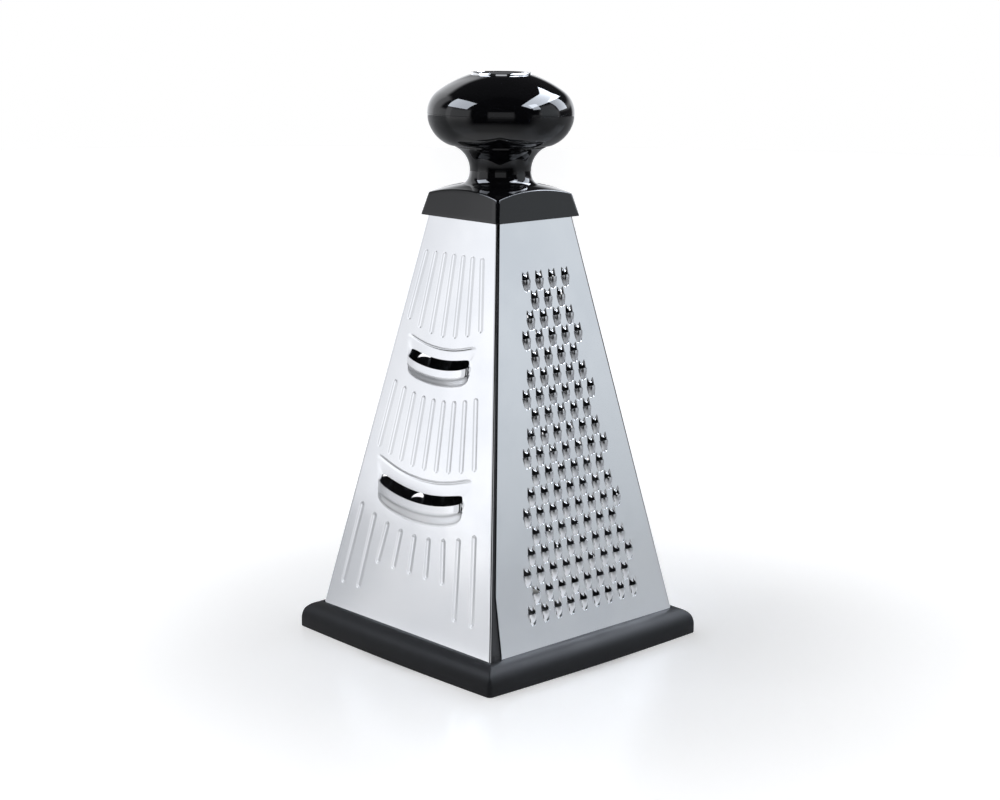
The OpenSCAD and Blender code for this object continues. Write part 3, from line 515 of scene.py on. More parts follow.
def bend_strip(turn, radius, begin, end, lead_in, lead_out, steps, s):
    """Strip round a corner between two levels: an arc in plan whose centre stands inside both faces by
    the radius, with a flat lead on the faces that it joins."""
    angle = np.radians(np.linspace(begin, end, steps + 1))
    arc = radius * on_circle(angle)
    if lead_in:
        arc = np.concatenate([[arc[0] + lead_in], arc])
    if lead_out:
        arc = np.concatenate([arc, [arc[-1] + lead_out]])
    z = np.array([s.sheet_foot_z, s.body_h])
    centre = (s.half(z) - radius)[:, None, None] * np.array([1.0, -1.0])
    x, y = turned(*np.moveaxis(arc[None] + centre, -1, 0), turn)
    points = np.stack([x, y, np.broadcast_to(z[:, None], x.shape)], -1)
    return points.reshape(-1, 3), grid(2, points.shape[1])


# Width in millimetres of the flat strip that a bend takes from each face that it joins
LEAD = 0.4


def shell(first_turn, first_patches, second_patches, s):
    """Bent sheet of two faces: the first has the turned edge at its right and the bend at its left,
    which is the right side of the second, whose left edge is plain."""
    second_turn = first_turn + 270
    first = face_sheet(face_outline(s.bend_r + LEAD, s.seam_r + LEAD, s), first_patches, first_turn, s)
    second = face_sheet(face_outline(None, s.bend_r + LEAD, s), second_patches, second_turn, s)
    turned_edge = bend_strip(first_turn, s.seam_r, -90, -42, (-LEAD, 0), None, 10, s)
    bend = bend_strip(second_turn, s.bend_r, -90, 0, (-LEAD, 0), (0, LEAD), 14, s)
    points, tris, _ = weld(*joined(first, second, turned_edge, bend))
    sheet = thicken(points, tris, s.sheet_t)
    tab_half, tab_l, tab_z = 0.6 * s.half(s.body_h), 7.0, s.body_h - 1.25 * s.sheet_t
    tabs = [box_at(turn, tab_half, s.half(s.body_h) - s.sheet_t, tab_l, tab_z, s.sheet_t)
            for turn in (first_turn, second_turn)]
    whole = joined(sheet, *tabs)
    # The back, the cut edges and the tabs take the second finish, whose dark colour is painted shade.
    finish_of = np.ones(len(whole[1]), int)
    finish_of[:len(tris)] = 0
    return *whole, finish_of


def box_at(turn, half_w, out, depth, low_z, height):
    """Closed box behind a face: its two ends joined across eight corners."""
    x, y = turned(np.array([-half_w, half_w, half_w, -half_w] * 2),
                  np.array([-out, -out, depth - out, depth - out] * 2), turn)
    corners = np.stack([x, y, np.repeat([low_z, low_z + height], 4)], -1)
    sides = grid(2, 4, wrap_cols=True)
    ends = np.array([[0, 2, 1], [0, 3, 2], [4, 5, 6], [4, 6, 7]])
    return corners, np.concatenate([sides, ends])


# Rings, collar, knob and cap: closed profiles carried round


def corner_samples(sides, corners):
    """Shares of the way along a side and round a corner, each without its end."""
    return np.linspace(-1, 1, sides, endpoint=False), np.linspace(0, 1, corners, endpoint=False)


def four_times(quarter):
    """A quarter's points, rows of them, repeated at the four turns."""
    x, y = quarter[..., 0], quarter[..., 1]
    turns = [np.stack([x, y], -1), np.stack([-y, x], -1), np.stack([-x, -y], -1), np.stack([y, -x], -1)]
    return np.concatenate(turns, axis=-2)


def square_outline(half, r, sides=24, corners=10):
    """Outlines of squares with round corners, one for each half width: a side along Y at +X, then an arc."""
    half, r = np.broadcast_arrays(np.atleast_1d(half).astype(float), np.asarray(r, float))
    along, bend = corner_samples(sides, corners)
    flat = half - r
    side = np.stack([np.broadcast_to(half[:, None], (len(half), sides)), flat[:, None] * along], -1)
    arc = flat[:, None, None] + r[:, None, None] * on_circle(bend * np.pi / 2)
    return four_times(np.concatenate([side, arc], axis=1))


def bowed_outline(inset, half, bow, corner_r, sides=24, corners=10):
    """Outlines of a square whose sides bow outwards, each moved in by an inset: arcs about centres on
    the axes, joined by corner arcs that touch both neighbours."""
    inset = np.atleast_1d(inset).astype(float)[:, None]
    end_half = half - bow
    side_r = (end_half ** 2 + bow ** 2) / (2 * bow) - inset
    r = np.maximum(corner_r - inset, corner_r / 4)
    out = side_r - (half - inset)
    k = (np.sqrt(2 * (side_r - r) ** 2 - out ** 2) - out) / 2
    meet = np.arctan2(k, k + out)
    along, bend = corner_samples(sides, corners)
    side = side_r[..., None] * on_circle(meet * along)
    side[..., 0] -= out
    arc = k[..., None] + r[..., None] * on_circle(meet + bend * (np.pi / 2 - 2 * meet))
    return four_times(np.concatenate([side, arc], axis=1))


def rows_to_skin(rows):
    """Closed skin from closed rows of points, the last row joined to the first. The rows go up on the
    outside and down on the inside, and each runs counter-clockwise."""
    return rows.reshape(-1, 3), grid(rows.shape[0], rows.shape[1], wrap_rows=True, wrap_cols=True)


def at_heights(plan, z):
    """Rows of plan points at heights, one height for each row or for each point."""
    z = np.asarray(z, float)
    return np.dstack([plan, np.broadcast_to(z[:, None] if z.ndim == 1 else z, plan.shape[:2])])


def foot_ring_skin(s):
    """Foot ring: a sole with a small round edge, an upright side, a quarter-round shoulder that runs to
    the steel, and an inner side that follows the steel down to the sole."""
    edge_r, corner_r, inner_corner_r, hollow_inset, play = 0.5, 2.0, 1.5, 4, 0.05
    lip_h, ledge_drop = 0.4, 0.2
    edge = np.radians([0, 30, 60, 90])
    turn = np.radians(np.linspace(0, 88, 23))
    inset = np.concatenate([edge_r * (1 - np.sin(edge)), s.ring_shoulder_r * (1 - np.cos(turn))])
    z = np.concatenate([edge_r * (1 - np.cos(edge)), s.ring_side_h + s.ring_shoulder_r * np.sin(turn)])
    plan = bowed_outline(inset, s.ring_half, s.ring_bow, corner_r)
    steel = (s.half(z) + play + 0.01)[:, None]
    reach = np.abs(plan).max(-1)
    plan = plan * np.maximum(steel / reach, 1)[..., None]
    inner_z = np.array([z[-1] - lip_h, s.sheet_foot_z, s.sheet_foot_z - ledge_drop, 0.0])
    hollow_half = s.half(0) - hollow_inset
    inner_half = [s.half(inner_z[0]) + play, s.half(s.sheet_foot_z) + play, hollow_half, hollow_half]
    inner = square_outline(inner_half, inner_corner_r)
    return rows_to_skin(np.concatenate([at_heights(plan, z), at_heights(inner, inner_z)]))


def between(a, b, shares):
    """Rows on the straight way between two rows."""
    shares = np.asarray(shares, float)[:, None, None]
    return a[None] * (1 - shares) + b[None] * shares


def rounded_way(a, corner, b, steps):
    """Rows on the parabola from one row to another whose tangents meet at the corner row."""
    t = np.linspace(0, 1, steps)[:, None, None]
    return a * (1 - t) ** 2 + corner * 2 * t * (1 - t) + b * t ** 2


def toward(a, b, distance):
    """Row at a distance from one row on the way to another."""
    way = b - a
    return a + distance * way / np.linalg.norm(way, axis=-1, keepdims=True)


def neck_collar_skin(s):
    """Collar and neck: leaning square sides, a small round edge, a dome that passes from the square to
    the round, a hollow neck whose profile is an arc, and the inner side that the steel stands in."""
    dome_r, corner_r, inner_corner_r, side_h, play = 90.0, 1.5, 0.8, 9.4, 0.1
    low_edge_r, top_edge_r, fillet_r, seat_r, seat_edge_r, bore_r = 0.35, 0.5, 1.6, 19.0, 0.25, 3.2
    slope = s.collar_taper / side_h
    side_at = lambda z: s.collar_half - slope * (z - s.collar_low_z)
    dome = lambda plan: s.crown_z - dome_r + np.sqrt(dome_r ** 2 - (plan ** 2).sum(-1))
    start_half = side_at(s.crown_z)
    start = square_outline(start_half, corner_r)[0]
    plan = start
    for _ in range(8):
        plan = start * (side_at(dome(plan)) / start_half)[:, None]
    edge = np.column_stack([plan, dome(plan)])
    low_plan = square_outline(s.collar_half, corner_r)[0]
    low = np.column_stack([low_plan, np.full(len(low_plan), s.collar_low_z)])
    around = on_circle(np.arctan2(plan[:, 1], plan[:, 0]))
    hollow_x, hollow_r = s.neck_r + s.neck_curve_r, s.neck_curve_r
    at_hollow = lambda a: np.column_stack([(hollow_x - hollow_r * np.cos(a)) * around,
                                           np.full(len(around), s.waist_z - hollow_r * np.sin(a))])
    meet = math.radians(31.5)
    past_fillet = meet - 0.2
    on_dome = lambda r: np.column_stack([r * around, dome(r * around)])
    foot_r = hollow_x - hollow_r * math.cos(meet)
    inner_half = [s.half(s.collar_low_z) + play, s.half(s.body_h) + play]
    inner_low, inner_high = square_outline(inner_half, inner_corner_r)
    sole = np.column_stack([inner_low, low[:, 2]])
    side_start, side_end = toward(low, edge, low_edge_r), toward(edge, low, top_edge_r)
    low_edge = rounded_way(toward(low, sole, low_edge_r), low, side_start, 5)
    side = between(side_start, side_end, np.linspace(0, 1, 9)[1:-1])
    inward = np.column_stack([plan * 0.98, dome(plan * 0.98)])
    top_start, top_end = toward(edge, inward, top_edge_r), on_dome(foot_r + fillet_r)
    top_edge = rounded_way(side_end, edge, top_start, 7)
    top_plan = between(top_start[:, :2], top_end[:, :2], np.linspace(0, 1, 16)[1:-1])
    top = np.dstack([top_plan, dome(top_plan)])
    fillet = rounded_way(top_end, at_hollow(meet), at_hollow(past_fillet), 7)
    rim_angle = -math.acos((hollow_x - seat_r) / hollow_r)
    neck = np.stack([at_hollow(a) for a in np.linspace(past_fillet, rim_angle, 26)[1:]])
    circle = lambda r, z: np.column_stack([r * around, np.full(len(around), z)])
    rim = rounded_way(circle(seat_r, s.seat_z - seat_edge_r), circle(seat_r, s.seat_z),
                      circle(seat_r - seat_edge_r, s.seat_z), 4)
    roof_z = s.body_h + play
    roof = np.column_stack([inner_high, np.full(len(inner_high), roof_z)])
    inside = np.stack([circle(bore_r, s.seat_z), circle(bore_r, roof_z), roof, sole])
    return rows_to_skin(np.concatenate([low_edge, side, top_edge, top, fillet, neck, rim, inside]))


def lathe(profile, steps=144):
    """Closed skin of a profile of radius and height turned about Z. The profile runs counter-clockwise."""
    profile = np.asarray(profile, float)
    t = 2 * np.pi * np.arange(steps) / steps
    r, z = profile.T
    return rows_to_skin(at_heights(r[:, None, None] * on_circle(t), z))


def arc_points(centre, radius, begin, end, steps):
    """Points of an arc in the profile's plane, its directions in degrees."""
    return centre + radius * on_circle(np.radians(np.linspace(begin, end, steps)))


# Wall of the knob and depth of the groove at its parting line, in millimetres
KNOB_WALL, PART_GROOVE = 2.4, 0.05


def knob_lower_skin(s):
    """Lower half of the knob: flat seat, quarter-round side up to the parting line with a small round
    edge there, and the same side moved in by the wall."""
    r, hole, edge_r = 14.1, 7.5, 0.005
    centre = (s.knob_r - r, s.knob_mid_z)
    outer = arc_points(centre, r, -68.0, -0.8, 40)
    lip = [[s.knob_r - edge_r, s.knob_mid_z - 0.05], [s.knob_r - PART_GROOVE, s.knob_mid_z - 0.01]]
    inner = arc_points(centre, r - KNOB_WALL, 0, -64, 24)
    return lathe(np.concatenate([[[hole, s.seat_z]], outer, lip, inner, [[hole, s.seat_z + KNOB_WALL]]]))


def knob_upper_skin(s):
    """Upper half of the knob: a round side that runs into a flatter crown of a larger arc, the seat and
    the well of the cap, and the same way back moved in by the wall."""
    side_r, rise, well_r, edge_r = 11.0, 17.4, 8.6, 0.005
    well_z = s.cap_top_z - 2.22
    side_x = s.knob_r - side_r
    crown_r = (side_x ** 2 + rise ** 2 - side_r ** 2) / (2 * (rise - side_r))
    crown_centre = (0.0, s.knob_mid_z + rise - crown_r)
    meet = math.degrees(math.atan2(crown_r - rise, side_x))
    hole = s.cap_r + 0.12
    at_hole = math.degrees(math.acos(hole / crown_r))
    side = arc_points((side_x, s.knob_mid_z), side_r, 1.0, meet, 30)
    crown = arc_points(crown_centre, crown_r, meet, at_hole - 0.3, 24)[1:]
    lip = [[s.knob_r - PART_GROOVE, s.knob_mid_z + 0.01], [s.knob_r - edge_r, s.knob_mid_z + 0.05]]
    edge = [[hole, crown[-1, 1] - 0.15], [hole, well_z], [well_r, well_z]]
    at_well = math.degrees(math.acos(well_r / (crown_r - KNOB_WALL)))
    inner_crown = arc_points(crown_centre, crown_r - KNOB_WALL, at_well, meet, 12)
    inner_side = arc_points((side_x, s.knob_mid_z), side_r - KNOB_WALL, meet, 0, 16)[1:]
    return lathe(np.concatenate([lip, side, crown, edge, inner_crown, inner_side]))


def cap_skin(s):
    """Cap: a dish whose depth falls with the square of the radius, inside a round raised rim, and a
    ring below that presses in the well."""
    top, r = s.cap_top_z, s.cap_r
    rim_r, dish_r, dish_edge, dish_depth = 0.4, r - 0.9, top - 0.3, 0.5
    rim = arc_points((r - rim_r, top - rim_r), rim_r, 0, 140, 14)
    radii = np.linspace(dish_r, 0, 22)
    dish = np.stack([radii, dish_edge - dish_depth * (1 - (radii / dish_r) ** 2)], -1)
    under, shoulder, skirt_z = top - 1.7, top - 2.2, top - 4.7
    inner_r, outer_r = 7.5, 8.5
    skirt = [[0, under], [inner_r, under], [inner_r, skirt_z], [outer_r, skirt_z], [outer_r, shoulder],
             [r, shoulder]]
    return lathe(np.concatenate([skirt, rim, dish]))


# Finishes


class Finish:
    """The nodes of a material or of the world, in short hand."""

    def __init__(self, name, world=None):
        self.block = world or bpy.data.materials.new(name)
        self.block.use_nodes = True
        self.tree = self.block.node_tree
        self.tree.nodes.clear()

    def __call__(self, kind, inputs=(), out=0, **settings):
        """Adds a node, sets or links its inputs and gives one of its outputs."""
        node = self.tree.nodes.new("ShaderNode" + kind)
        for key, value in settings.items():
            setattr(node, key, value)
        for key, value in dict(inputs).items():
            if isinstance(value, bpy.types.NodeSocket):
                self.tree.links.new(value, node.inputs[key])
            else:
                node.inputs[key].default_value = value
        return node.outputs[out]

    def math(self, operation, *values):
        """One step of arithmetic on numbers or outputs."""
        return self("Math", dict(enumerate(values)), operation=operation)

    def place(self, scale=(1, 1, 1)):
        """Place on the object in metres, stretched by a scale."""
        return self("Mapping", {"Vector": self("TexCoord", out=3), "Scale": scale})

    def noise(self, vector, scale, detail=3.0, rough=0.5):
        """Noise between 0 and 1."""
        return self("TexNoise", {"Vector": vector, "Scale": scale, "Detail": detail, "Roughness": rough})

    def range(self, value, low, high, to_low, to_high, smooth=False):
        """A value carried from one range to another."""
        kind = "SMOOTHSTEP" if smooth else "LINEAR"
        return self("MapRange", {"Value": value, "From Min": low, "From Max": high,
                                 "To Min": to_low, "To Max": to_high}, interpolation_type=kind)

    def product(self, first, *rest):
        """Product of numbers or outputs."""
        for value in rest:
            first = self.math("MULTIPLY", first, value)
        return first

    def mix(self, share, first, second):
        """A colour between two, at a share of the way."""
        return self("Mix", {0: share, 6: first, 7: second}, out=2, data_type="RGBA")

    def drift(self, share, tone, factor):
        """A colour that goes over to a factor of itself, by a share."""
        return self.mix(share, rgba(tone), rgba([factor * v for v in tone]))

    def bump(self, height, strength, distance, others=()):
        """Normal of a height, whose full range stands for a distance in metres."""
        return self("Bump", {"Height": height, "Strength": strength, "Distance": distance, **dict(others)})

    def from_camera(self, vector):
        """Parts of a vector: to the camera's right, away from the camera, and up."""
        way = self("VectorRotate", {"Vector": vector, "Angle": math.radians(-CAMERA_TURN)},
                   rotation_type="Z_AXIS")
        return self("SeparateXYZ", {0: way}).node.outputs

    def surface(self, tone, rough, others):
        """Links a surface of a colour and a roughness, and its other inputs, to the output."""
        return self.done(self("BsdfPrincipled", {"Base Color": tone, "Roughness": rough, **others}))

    def done(self, shader, kind="Material"):
        """Links the shader to the output."""
        out = self.tree.nodes.new("ShaderNodeOutput" + kind)
        self.tree.links.new(shader, out.inputs["Surface"])
        return self.block


def rgba(values):
    """A colour with full cover."""
    return (*values, 1.0)


def steel_sheet(context):
    """Bright rolled steel: faint patches of tone and roughness, a fine grain and a very slight waviness."""
    p, f = context.scene.grater_colours, Finish("steel_sheet")
    patches = f.noise(f.place(), 34.0, 4.0)
    grain = f.noise(f.place((1, 1, 0.25)), 3600.0, 2.0)
    waves = f.noise(f.place(), 46.0, 1.0)
    tone = f.mix(f.range(patches, 0.35, 0.7, 0.0, 1.0, True), rgba(p.steel), rgba(p.steel_shade))
    rough = f.math("ADD", f.range(patches, 0.3, 0.7, p.steel_rough - 0.01, p.steel_rough + 0.02),
                   f.range(grain, 0.3, 0.7, -0.01, 0.01))
    bump = f.bump(waves, 0.10, 0.0003, {"Normal": f.bump(grain, 0.10, 0.00002)})
    return f.surface(tone, rough, {"Metallic": 1.0, "Normal": bump})


def steel_inside(context):
    """The sheet's unpolished back and cut edges: duller, as unpolished steel is, and much darker,
    which is painted shade for the inside of the body; with smudges of wear.
    """
    p, f = context.scene.grater_colours, Finish("steel_inside")
    smudges = f.noise(f.place((1, 1, 0.4)), 60.0, 5.0)
    tone = f.drift(f.range(smudges, 0.35, 0.7, 0.0, 1.0, True), p.steel_inside, 0.7)
    bump = f.bump(f.noise(f.place((1, 1, 0.2)), 3000.0, 2.0), 0.15, 0.00003)
    return f.surface(tone, f.range(smudges, 0.3, 0.7, 0.38, 0.5), {"Metallic": 1.0, "Normal": bump})


def gloss_black(context):
    """Polished moulded plastic: near-black, with faint smears in its gloss and a slight unevenness."""
    p, f = context.scene.grater_colours, Finish("gloss_black")
    smears = f.noise(f.place((1, 1, 2)), 60.0, 5.0)
    tone = f.drift(f.range(smears, 0.4, 0.7, 0.0, 1.0), p.gloss_black, 1.3)
    rough = f.range(smears, 0.35, 0.75, p.gloss_rough - 0.01, p.gloss_rough + 0.03)
    return f.surface(tone, rough, {"Normal": f.bump(f.noise(f.place(), 70.0, 1.0), 0.08, 0.0002)})


def matte_black(context):
    """Moulded plastic with a fine eroded grain. On the seam strips its black is painted shade in the seams.
    """
    p, f = context.scene.grater_colours, Finish("matte_black")
    grain = f.noise(f.place(), 2600.0, 2.0)
    tone = f.drift(f.range(f.noise(f.place(), 60.0, 3.0), 0.3, 0.7, 0.0, 1.0), p.matte_black, 1.5)
    return f.surface(tone, f.range(grain, 0.3, 0.7, 0.48, 0.6), {"Normal": f.bump(grain, 0.3, 0.00006)})


def soft_rubber(context):
    """Satin rubber: dark grey, with a fine grain, a little dust in patches and a soft sheen."""
    p, f = context.scene.grater_colours, Finish("soft_rubber")
    dust = f.noise(f.place(), 90.0, 6.0, 0.6)
    grain = f.noise(f.place(), 3200.0, 2.0)
    tone = f.drift(f.range(dust, 0.5, 0.75, 0.0, 1.0), p.rubber, 1.35)
    rough = f.math("ADD", f.range(dust, 0.35, 0.7, p.rubber_rough - 0.03, p.rubber_rough + 0.05),
                   f.range(grain, 0.3, 0.7, -0.02, 0.02))
    return f.surface(tone, rough, {"Normal": f.bump(grain, 0.25, 0.00005), "Specular IOR Level": 0.15})


def chromed_plastic(context):
    """Chrome plating: a mirror with faint wiping marks in its gloss."""
    p, f = context.scene.grater_colours, Finish("chromed_plastic")
    marks = f.noise(f.place((1, 1, 6)), 140.0, 5.0)
    tone = f.drift(f.range(marks, 0.3, 0.7, 0.0, 1.0), p.chrome, 0.97)
    return f.surface(tone, f.range(marks, 0.35, 0.7, 0.07, 0.1), {"Metallic": 1.0})


def plated_fastener(context):
    """Zinc plating: dull grey metal with small crystals."""
    p, f = context.scene.grater_colours, Finish("plated_fastener")
    crystals = f("TexVoronoi", {"Vector": f.place(), "Scale": 900.0})
    tone = f.drift(f.range(crystals, 0.0, 0.7, 0.0, 1.0), p.zinc, 0.8)
    return f.surface(tone, f.range(crystals, 0.0, 0.7, 0.25, 0.45), {"Metallic": 1.0})


def floor_paint(context):
    """Pale satin floor with white of its own where the camera and glossy pieces see it. For the camera
    the white is none under the object and less near it, painted shade round the object on top of its
    real shadow. For gloss it is painted light near the object and far off at the camera's left, and the
    floor in front fades to black, a painted dark reflection."""
    p, f = context.scene.grater_colours, Finish("studio_floor")
    path = f("LightPath").node.outputs
    mottle = f.noise(f.place(), 3.0, 3.0)
    away = f("VectorMath", {0: f.place((1, 1, 0))}, out=1, operation="LENGTH")
    x, y = f.from_camera(f.place())[:2]
    outside = f.range(away, 0.05, 0.07, 0.0, 1.0, True)
    # Painted shade: the camera's white is none under the object and rises from 0.5 near it to 0.8 far off, so
    # the floor round the object is darker than its real shadow makes it.
    camera_white_and_painted_shade = f.product(outside, f.range(away, 0.07, 0.26, 0.50, 0.80, True))
    # Painted reflection: for glossy rays the floor glows near the object and far off at the camera's left,
    # light that no lamp gives.
    near = f.range(away, 0.12, 0.24, 0.34, 0.0, True)
    far = f.range(away, 0.5, 1.8, 0.12, 0.46, True)
    to_right = f.range(x, -0.02, 0.22, 1.0, 0.12, True)
    to_back = f.range(f.math("DIVIDE", y, f.math("ABSOLUTE", x)), 0.0, 0.09, 1.0, 0.0, True)
    painted_gloss_light = f.product(f.product(outside, to_right), f.math("ADD", near, f.product(far, to_back)))
    # Painted dark reflection: for glossy rays the floor in front fades to black and loses its glow.
    facing = f.math("DIVIDE", f.product(y, -1.0), away)
    painted_dark_front = f.product(f.range(facing, 0.5, 0.75, 0.0, 1.0, True),
                         f.range(away, 0.25, 0.6, 0.0, 1.0, True))
    tone = f.mix(f.product(path["Is Glossy Ray"], painted_dark_front), f.drift(mottle, p.floor, 0.985), rgba((0, 0, 0)))
    painted_gloss_light = f.product(painted_gloss_light, f.math("SUBTRACT", 1.0, painted_dark_front))
    glow = f.math("ADD", f.product(path["Is Camera Ray"], camera_white_and_painted_shade),
                  f.product(path["Is Glossy Ray"], painted_gloss_light))
    others = {"Specular IOR Level": 0.2, "Emission Color": rgba((1, 1, 1)), "Emission Strength": glow}
    return f.surface(tone, f.range(mottle, 0.3, 0.7, 0.22, 0.26), others)


# Operators: one for each piece or group of like pieces, and one for the stage


class GRATER_OT_sheets(Operator):
    """Makes the two bent steel sheets with their pressed patterns"""
    bl_idname = "grater.sheets"
    bl_label = "Steel sheets"

    def execute(self, context):
        s, steel = body(context), steel_sheet(context)
        slicing = slicing_patches(s)
        rasp = [copies(burst_hole(foot_r=2.1, top_r=1.0, rise=1.05),
                       staggered(s, s.rasp_pitch, s.rasp_row, low_z=24.0, margin=8.0, first=0))]
        fine = [copies(tooth(**FINE_TOOTH), fine_places(s))]
        coarse = [copies(tooth(**COARSE_TOOTH),
                         staggered(s, s.coarse_pitch, s.coarse_row, s.coarse_low_z, margin=10.1, first=1))]
        finishes = [steel, steel_inside(context)]
        for name, node, turn, first, second in (
                ("slicer_coarse_sheet", "slicer_coarse_shell", SLICER, slicing, coarse),
                ("fine_rasp_sheet", "fine_rasp_shell", RASP, rasp, fine)):
            points, tris, finish_of = shell(turn, first, second, s)
            put_piece(name, points, tris, finishes, node, "steel_sheet", finish_of=finish_of)
        return {"FINISHED"}


# Angle in degrees up to which the edges of the foot ring and the collar are shaded smooth
SMOOTH_TO = 50.0


class GRATER_OT_foot(Operator):
    """Makes the soft foot ring"""
    bl_idname = "grater.foot"
    bl_label = "Foot ring"

    def execute(self, context):
        skin = foot_ring_skin(body(context))
        put_piece("soft_foot_ring", *skin, [soft_rubber(context)], "foot_ring", "soft_rubber", SMOOTH_TO)
        return {"FINISHED"}


class GRATER_OT_handle(Operator):
    """Makes the collar with its neck, the two halves of the knob and the chromed cap"""
    bl_idname = "grater.handle"
    bl_label = "Collar, knob and cap"

    def execute(self, context):
        s, gloss = body(context), gloss_black(context)
        put_piece("gloss_collar", *neck_collar_skin(s), [gloss], "neck_collar", "gloss_black", SMOOTH_TO)
        put_piece("gloss_knob_lower", *knob_lower_skin(s), [gloss], "knob_lower_shell", "gloss_black")
        put_piece("gloss_knob_upper", *knob_upper_skin(s), [gloss], "knob_upper_shell", "gloss_black")
        put_piece("mirror_cap", *cap_skin(s), [chromed_plastic(context)], "chrome_cap", "chromed_plastic")
        return {"FINISHED"}


class GRATER_OT_inner(Operator):
    """Gives the frame, the strips, the plug and the fastening their finishes"""
    bl_idname = "grater.inner"
    bl_label = "Inner pieces"

    def execute(self, context):
        # The black seam strips fill the seams where there is only shade: painted shade.
        finishes = {matte_black(context): ("base_frame", "front_seam_strip", "back_seam_strip", "top_plug"),
                    plated_fastener(context): ("tie_bolt", "washer", "nut")}
        for material, names in finishes.items():
            for name in names:
                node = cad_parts[name]
                if not node.material_slots:
                    node.data.materials.append(material)
                for slot in node.material_slots:
                    slot.material = material
        return {"FINISHED"}


def studio_direction(f):
    """Way of a ray in the studio: its angle round the object from the camera, to the right, and its
    elevation, both in degrees."""
    x, y, z = f.from_camera(f("TexCoord"))
    degrees = math.degrees(1)
    return (f.product(f.math("ARCTAN2", x, f.product(y, -1.0)), degrees),
            f.product(f.math("ARCSINE", z), degrees))


def studio_world(context):
    """Walls, dark gaps and ceiling round the object. Each is a level with soft edges between two angles
    and two elevations, laid over the one before; the camera sees plain white."""
    p = context.scene.studio_lights
    world = bpy.data.worlds.new("studio")
    context.scene.world = world
    f = Finish("studio", world)
    angle, height = studio_direction(f)
    cool, plain = (0.88, 0.94, 1.0), (0.95, 0.965, 1.0)

    def window(left, right, low, high, soft_x, soft_y):
        """One inside two angles and two elevations, as the product of four smooth steps."""
        edges = (f.range(angle, left - soft_x, left + soft_x, 0, 1, True),
                 f.range(angle, right - soft_x, right + soft_x, 1, 0, True),
                 f.range(height, low - soft_y, low + soft_y, 0, 1, True),
                 f.range(height, high - soft_y, high + soft_y, 1, 0, True))
        return f.product(f.product(*edges[:2]), f.product(*edges[2:]))

    def lit(tint, level):
        """A tint times a level of light."""
        return rgba([v * level for v in tint])

    shade = f("RGB")
    shade.default_value = lit(plain, p.ceiling)
    # Left, right, low and high bound, softness sideways and upwards, all in degrees, tint and level
    for bounds, tint, level in (
            ((-300, 300, -100, 12, 1, 7), plain, p.back_wall),
            ((-172, -128, -100, 37, 6, 4), plain, p.back_wall),
            ((-132, -112, -100, 40, 5, 4), plain, 0.68 * p.back_wall),
            ((-113, -94, -100, 12, 4, 4), plain, 0.68 * p.left_wall),
            ((-97, -48, -100, 22, 2, 6), plain, 0.70 * p.left_wall),
            ((-95.0, -85, -100, 22, 1.2, 5), plain, p.left_wall),
            ((66, 100, -100, 32, 3, 4), cool, p.right_wall),
            ((66, 100, -100, 2, 3, 4), cool, 0.75 * p.right_wall),
            ((102, 148, -28, 9, 5, 5), plain, 2 * p.ceiling),
            ((-49, 63, -22, 100, 3, 6), plain, 0.4 * p.ceiling),
            ((50, 66, -24, 4, 4, 3), plain, 0.4 * p.right_wall),
            ((-20, 21, -14, 17, 2, 3), plain, p.front_card),
            ((177, 300, -30, 40, 1, 4), plain, 0.1 * p.back_wall),
            ((-300, -177, -30, 40, 1, 4), plain, 0.1 * p.back_wall)):
        shade = f.mix(window(*bounds), shade, lit(tint, level))
    seen = f.mix(f("LightPath"), shade, rgba((1, 1, 1)))
    return f.done(f("Background", {"Color": seen, "Strength": 1.0}), "World")


# Tint of the lamps where they shine in gloss, and the point that all lamps face, in metres
COOL_SHINE = (0.84, 0.90, 1.0)
LAMPS_CENTRE = Vector((0, 0, 0.22))


def softbox(name, angle, elevation, width, height, shine, light):
    """Square lamp round the object at an angle from the camera, to the right, and an elevation, given
    with its width and height in degrees: one lamp that shines in gloss and one that lights dull
    surfaces."""
    turn, tilt, distance = math.radians(CAMERA_TURN - 90 + angle), math.radians(elevation), 1.6
    way = Vector((math.cos(turn) * math.cos(tilt), math.sin(turn) * math.cos(tilt), math.sin(tilt)))
    size = [2 * distance * math.tan(math.radians(v) / 2) for v in (width, height)]
    for kind, level in (("shine", shine), ("light", light)):
        lamp = bpy.data.lights.new(name + "_" + kind, "AREA")
        lamp.shape = "RECTANGLE"
        lamp.size, lamp.size_y = size
        lamp.energy = level * math.pi * size[0] * size[1]
        if kind == "shine":
            lamp.color = COOL_SHINE
        lamp_object = bpy.data.objects.new(lamp.name, lamp)
        lamp_object.location = LAMPS_CENTRE + distance * way
        lamp_object.rotation_euler = way.to_track_quat("Z", "Y").to_euler()
        lamp_object.visible_camera = False
        lamp_object.visible_glossy = kind == "shine"
        lamp_object.visible_diffuse = kind == "light"
        bpy.context.scene.collection.objects.link(lamp_object)


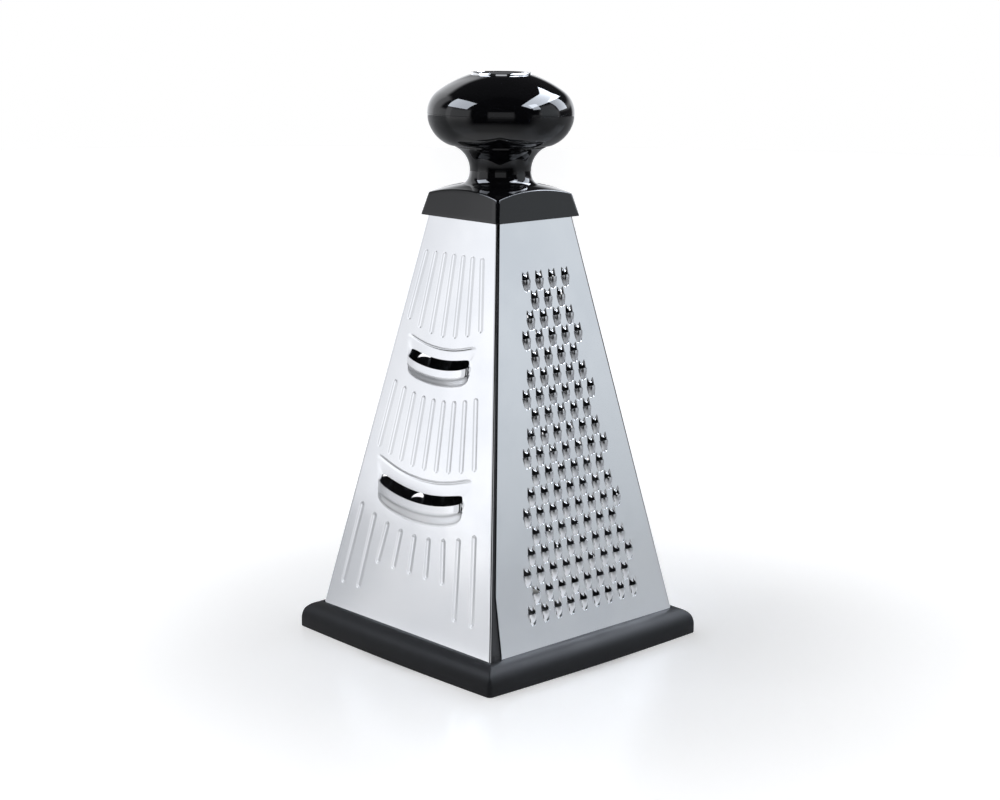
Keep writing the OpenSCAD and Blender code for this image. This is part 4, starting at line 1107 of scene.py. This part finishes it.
class GRATER_OT_stage(Operator):
    """Makes the floor, the lamps, the studio's walls and the camera"""
    bl_idname = "grater.stage"
    bl_label = "Stage"

    def execute(self, context):
        p, floor_r = context.scene.studio_lights, 2.5
        angle = np.radians(np.arange(-180, 180, 3))
        rim = np.stack([floor_r * np.sin(angle), -floor_r * np.cos(angle), np.zeros(len(angle))], -1)
        last = np.arange(len(angle))
        fan = np.stack([last, np.roll(last, -1), np.full(len(last), len(last))], -1)
        mesh = bpy.data.meshes.new("studio_floor")
        mesh.from_pydata([*rim.tolist(), [0.0, 0.0, 0.0]], [], fan.tolist())
        mesh.materials.append(floor_paint(context))
        floor = bpy.data.objects.new("studio_floor", mesh)
        context.scene.collection.objects.link(floor)
        studio_world(context)
        softbox("left_box", -77, 38, 38, 27, 0.8 * p.box_shine, p.box_light)
        softbox("right_box", 97, 49, 80, 22, p.box_shine, p.box_light)
        softbox("right_leg", 61, 33, 13, 20, 0.7 * p.box_shine, 0.5 * p.box_light)
        softbox("rear_leg", 116, 26, 25, 32, 0.5 * p.box_shine, 0.5 * p.box_light)
        context.scene.view_settings.view_transform = "Standard"
        lens = bpy.data.cameras.new("camera")
        lens.sensor_width, lens.lens = SENSOR_W, FOCAL_LENGTH
        lens.clip_start, lens.clip_end = 0.01, 50.0
        camera = bpy.data.objects.new("camera", lens)
        context.scene.collection.objects.link(camera)
        camera.matrix_world = camera_place()
        context.scene.camera = camera
        return {"FINISHED"}


# The camera as fitted to the photograph's view: its sensor and focal length in millimetres, its
# distance and height in metres, and its small turns in degrees
SENSOR_W, FOCAL_LENGTH = 36.0, 71.095
DISTANCE, HEIGHT = 0.821933, 0.277501
YAW, PITCH, ROLL = 0.036, 12.050, 0.426


def camera_place():
    """The camera's place: looking along Y from its distance and height, aimed by its small turns, and
    then carried round the object."""
    yaw, pitch, roll, around = (math.radians(v) for v in (YAW, PITCH, ROLL, CAMERA_TURN))
    forward = Vector((math.sin(yaw) * math.cos(pitch), math.cos(yaw) * math.cos(pitch), -math.sin(pitch)))
    right = Vector((math.cos(yaw), -math.sin(yaw), 0.0))
    up = right.cross(forward)
    across = right * math.cos(roll) + up * math.sin(roll)
    above = up * math.cos(roll) - right * math.sin(roll)
    axes = Matrix((across, above, -forward)).transposed().to_4x4()
    place = Matrix.Translation(Vector((0.0, -DISTANCE, HEIGHT))) @ axes
    return Matrix.Rotation(around, 4, "Z") @ place


class GRATER_PT_panel(Panel):
    """Buttons and sizes in the sidebar"""
    bl_label = "Pyramid grater"
    bl_idname = "GRATER_PT_panel"
    bl_space_type = "VIEW_3D"
    bl_region_type = "UI"
    bl_category = "Grater"

    def draw(self, context):
        for operator in OPERATORS:
            self.layout.operator(operator.bl_idname)
        for name in GROUPS:
            group, box = getattr(context.scene, name), self.layout.box()
            for size in group.__annotations__:
                box.prop(group, size)


GROUPS = {"grater_sizes": GraterSizes, "grater_colours": GraterColours, "studio_lights": StudioLights}
OPERATORS = (GRATER_OT_sheets, GRATER_OT_foot, GRATER_OT_handle, GRATER_OT_inner, GRATER_OT_stage)


def register():
    for kind in (*GROUPS.values(), *OPERATORS, GRATER_PT_panel):
        bpy.utils.register_class(kind)
    for name, group in GROUPS.items():
        setattr(bpy.types.Scene, name, PointerProperty(type=group))


def unregister():
    for name in GROUPS:
        delattr(bpy.types.Scene, name)
    for kind in (GRATER_PT_panel, *reversed(OPERATORS), *reversed(GROUPS.values())):
        bpy.utils.unregister_class(kind)


def main():
    """Makes every piece and the stage in order."""
    register()
    bpy.ops.grater.sheets()
    bpy.ops.grater.foot()
    bpy.ops.grater.handle()
    bpy.ops.grater.inner()
    bpy.ops.grater.stage()


if __name__ == "__main__":
    main()
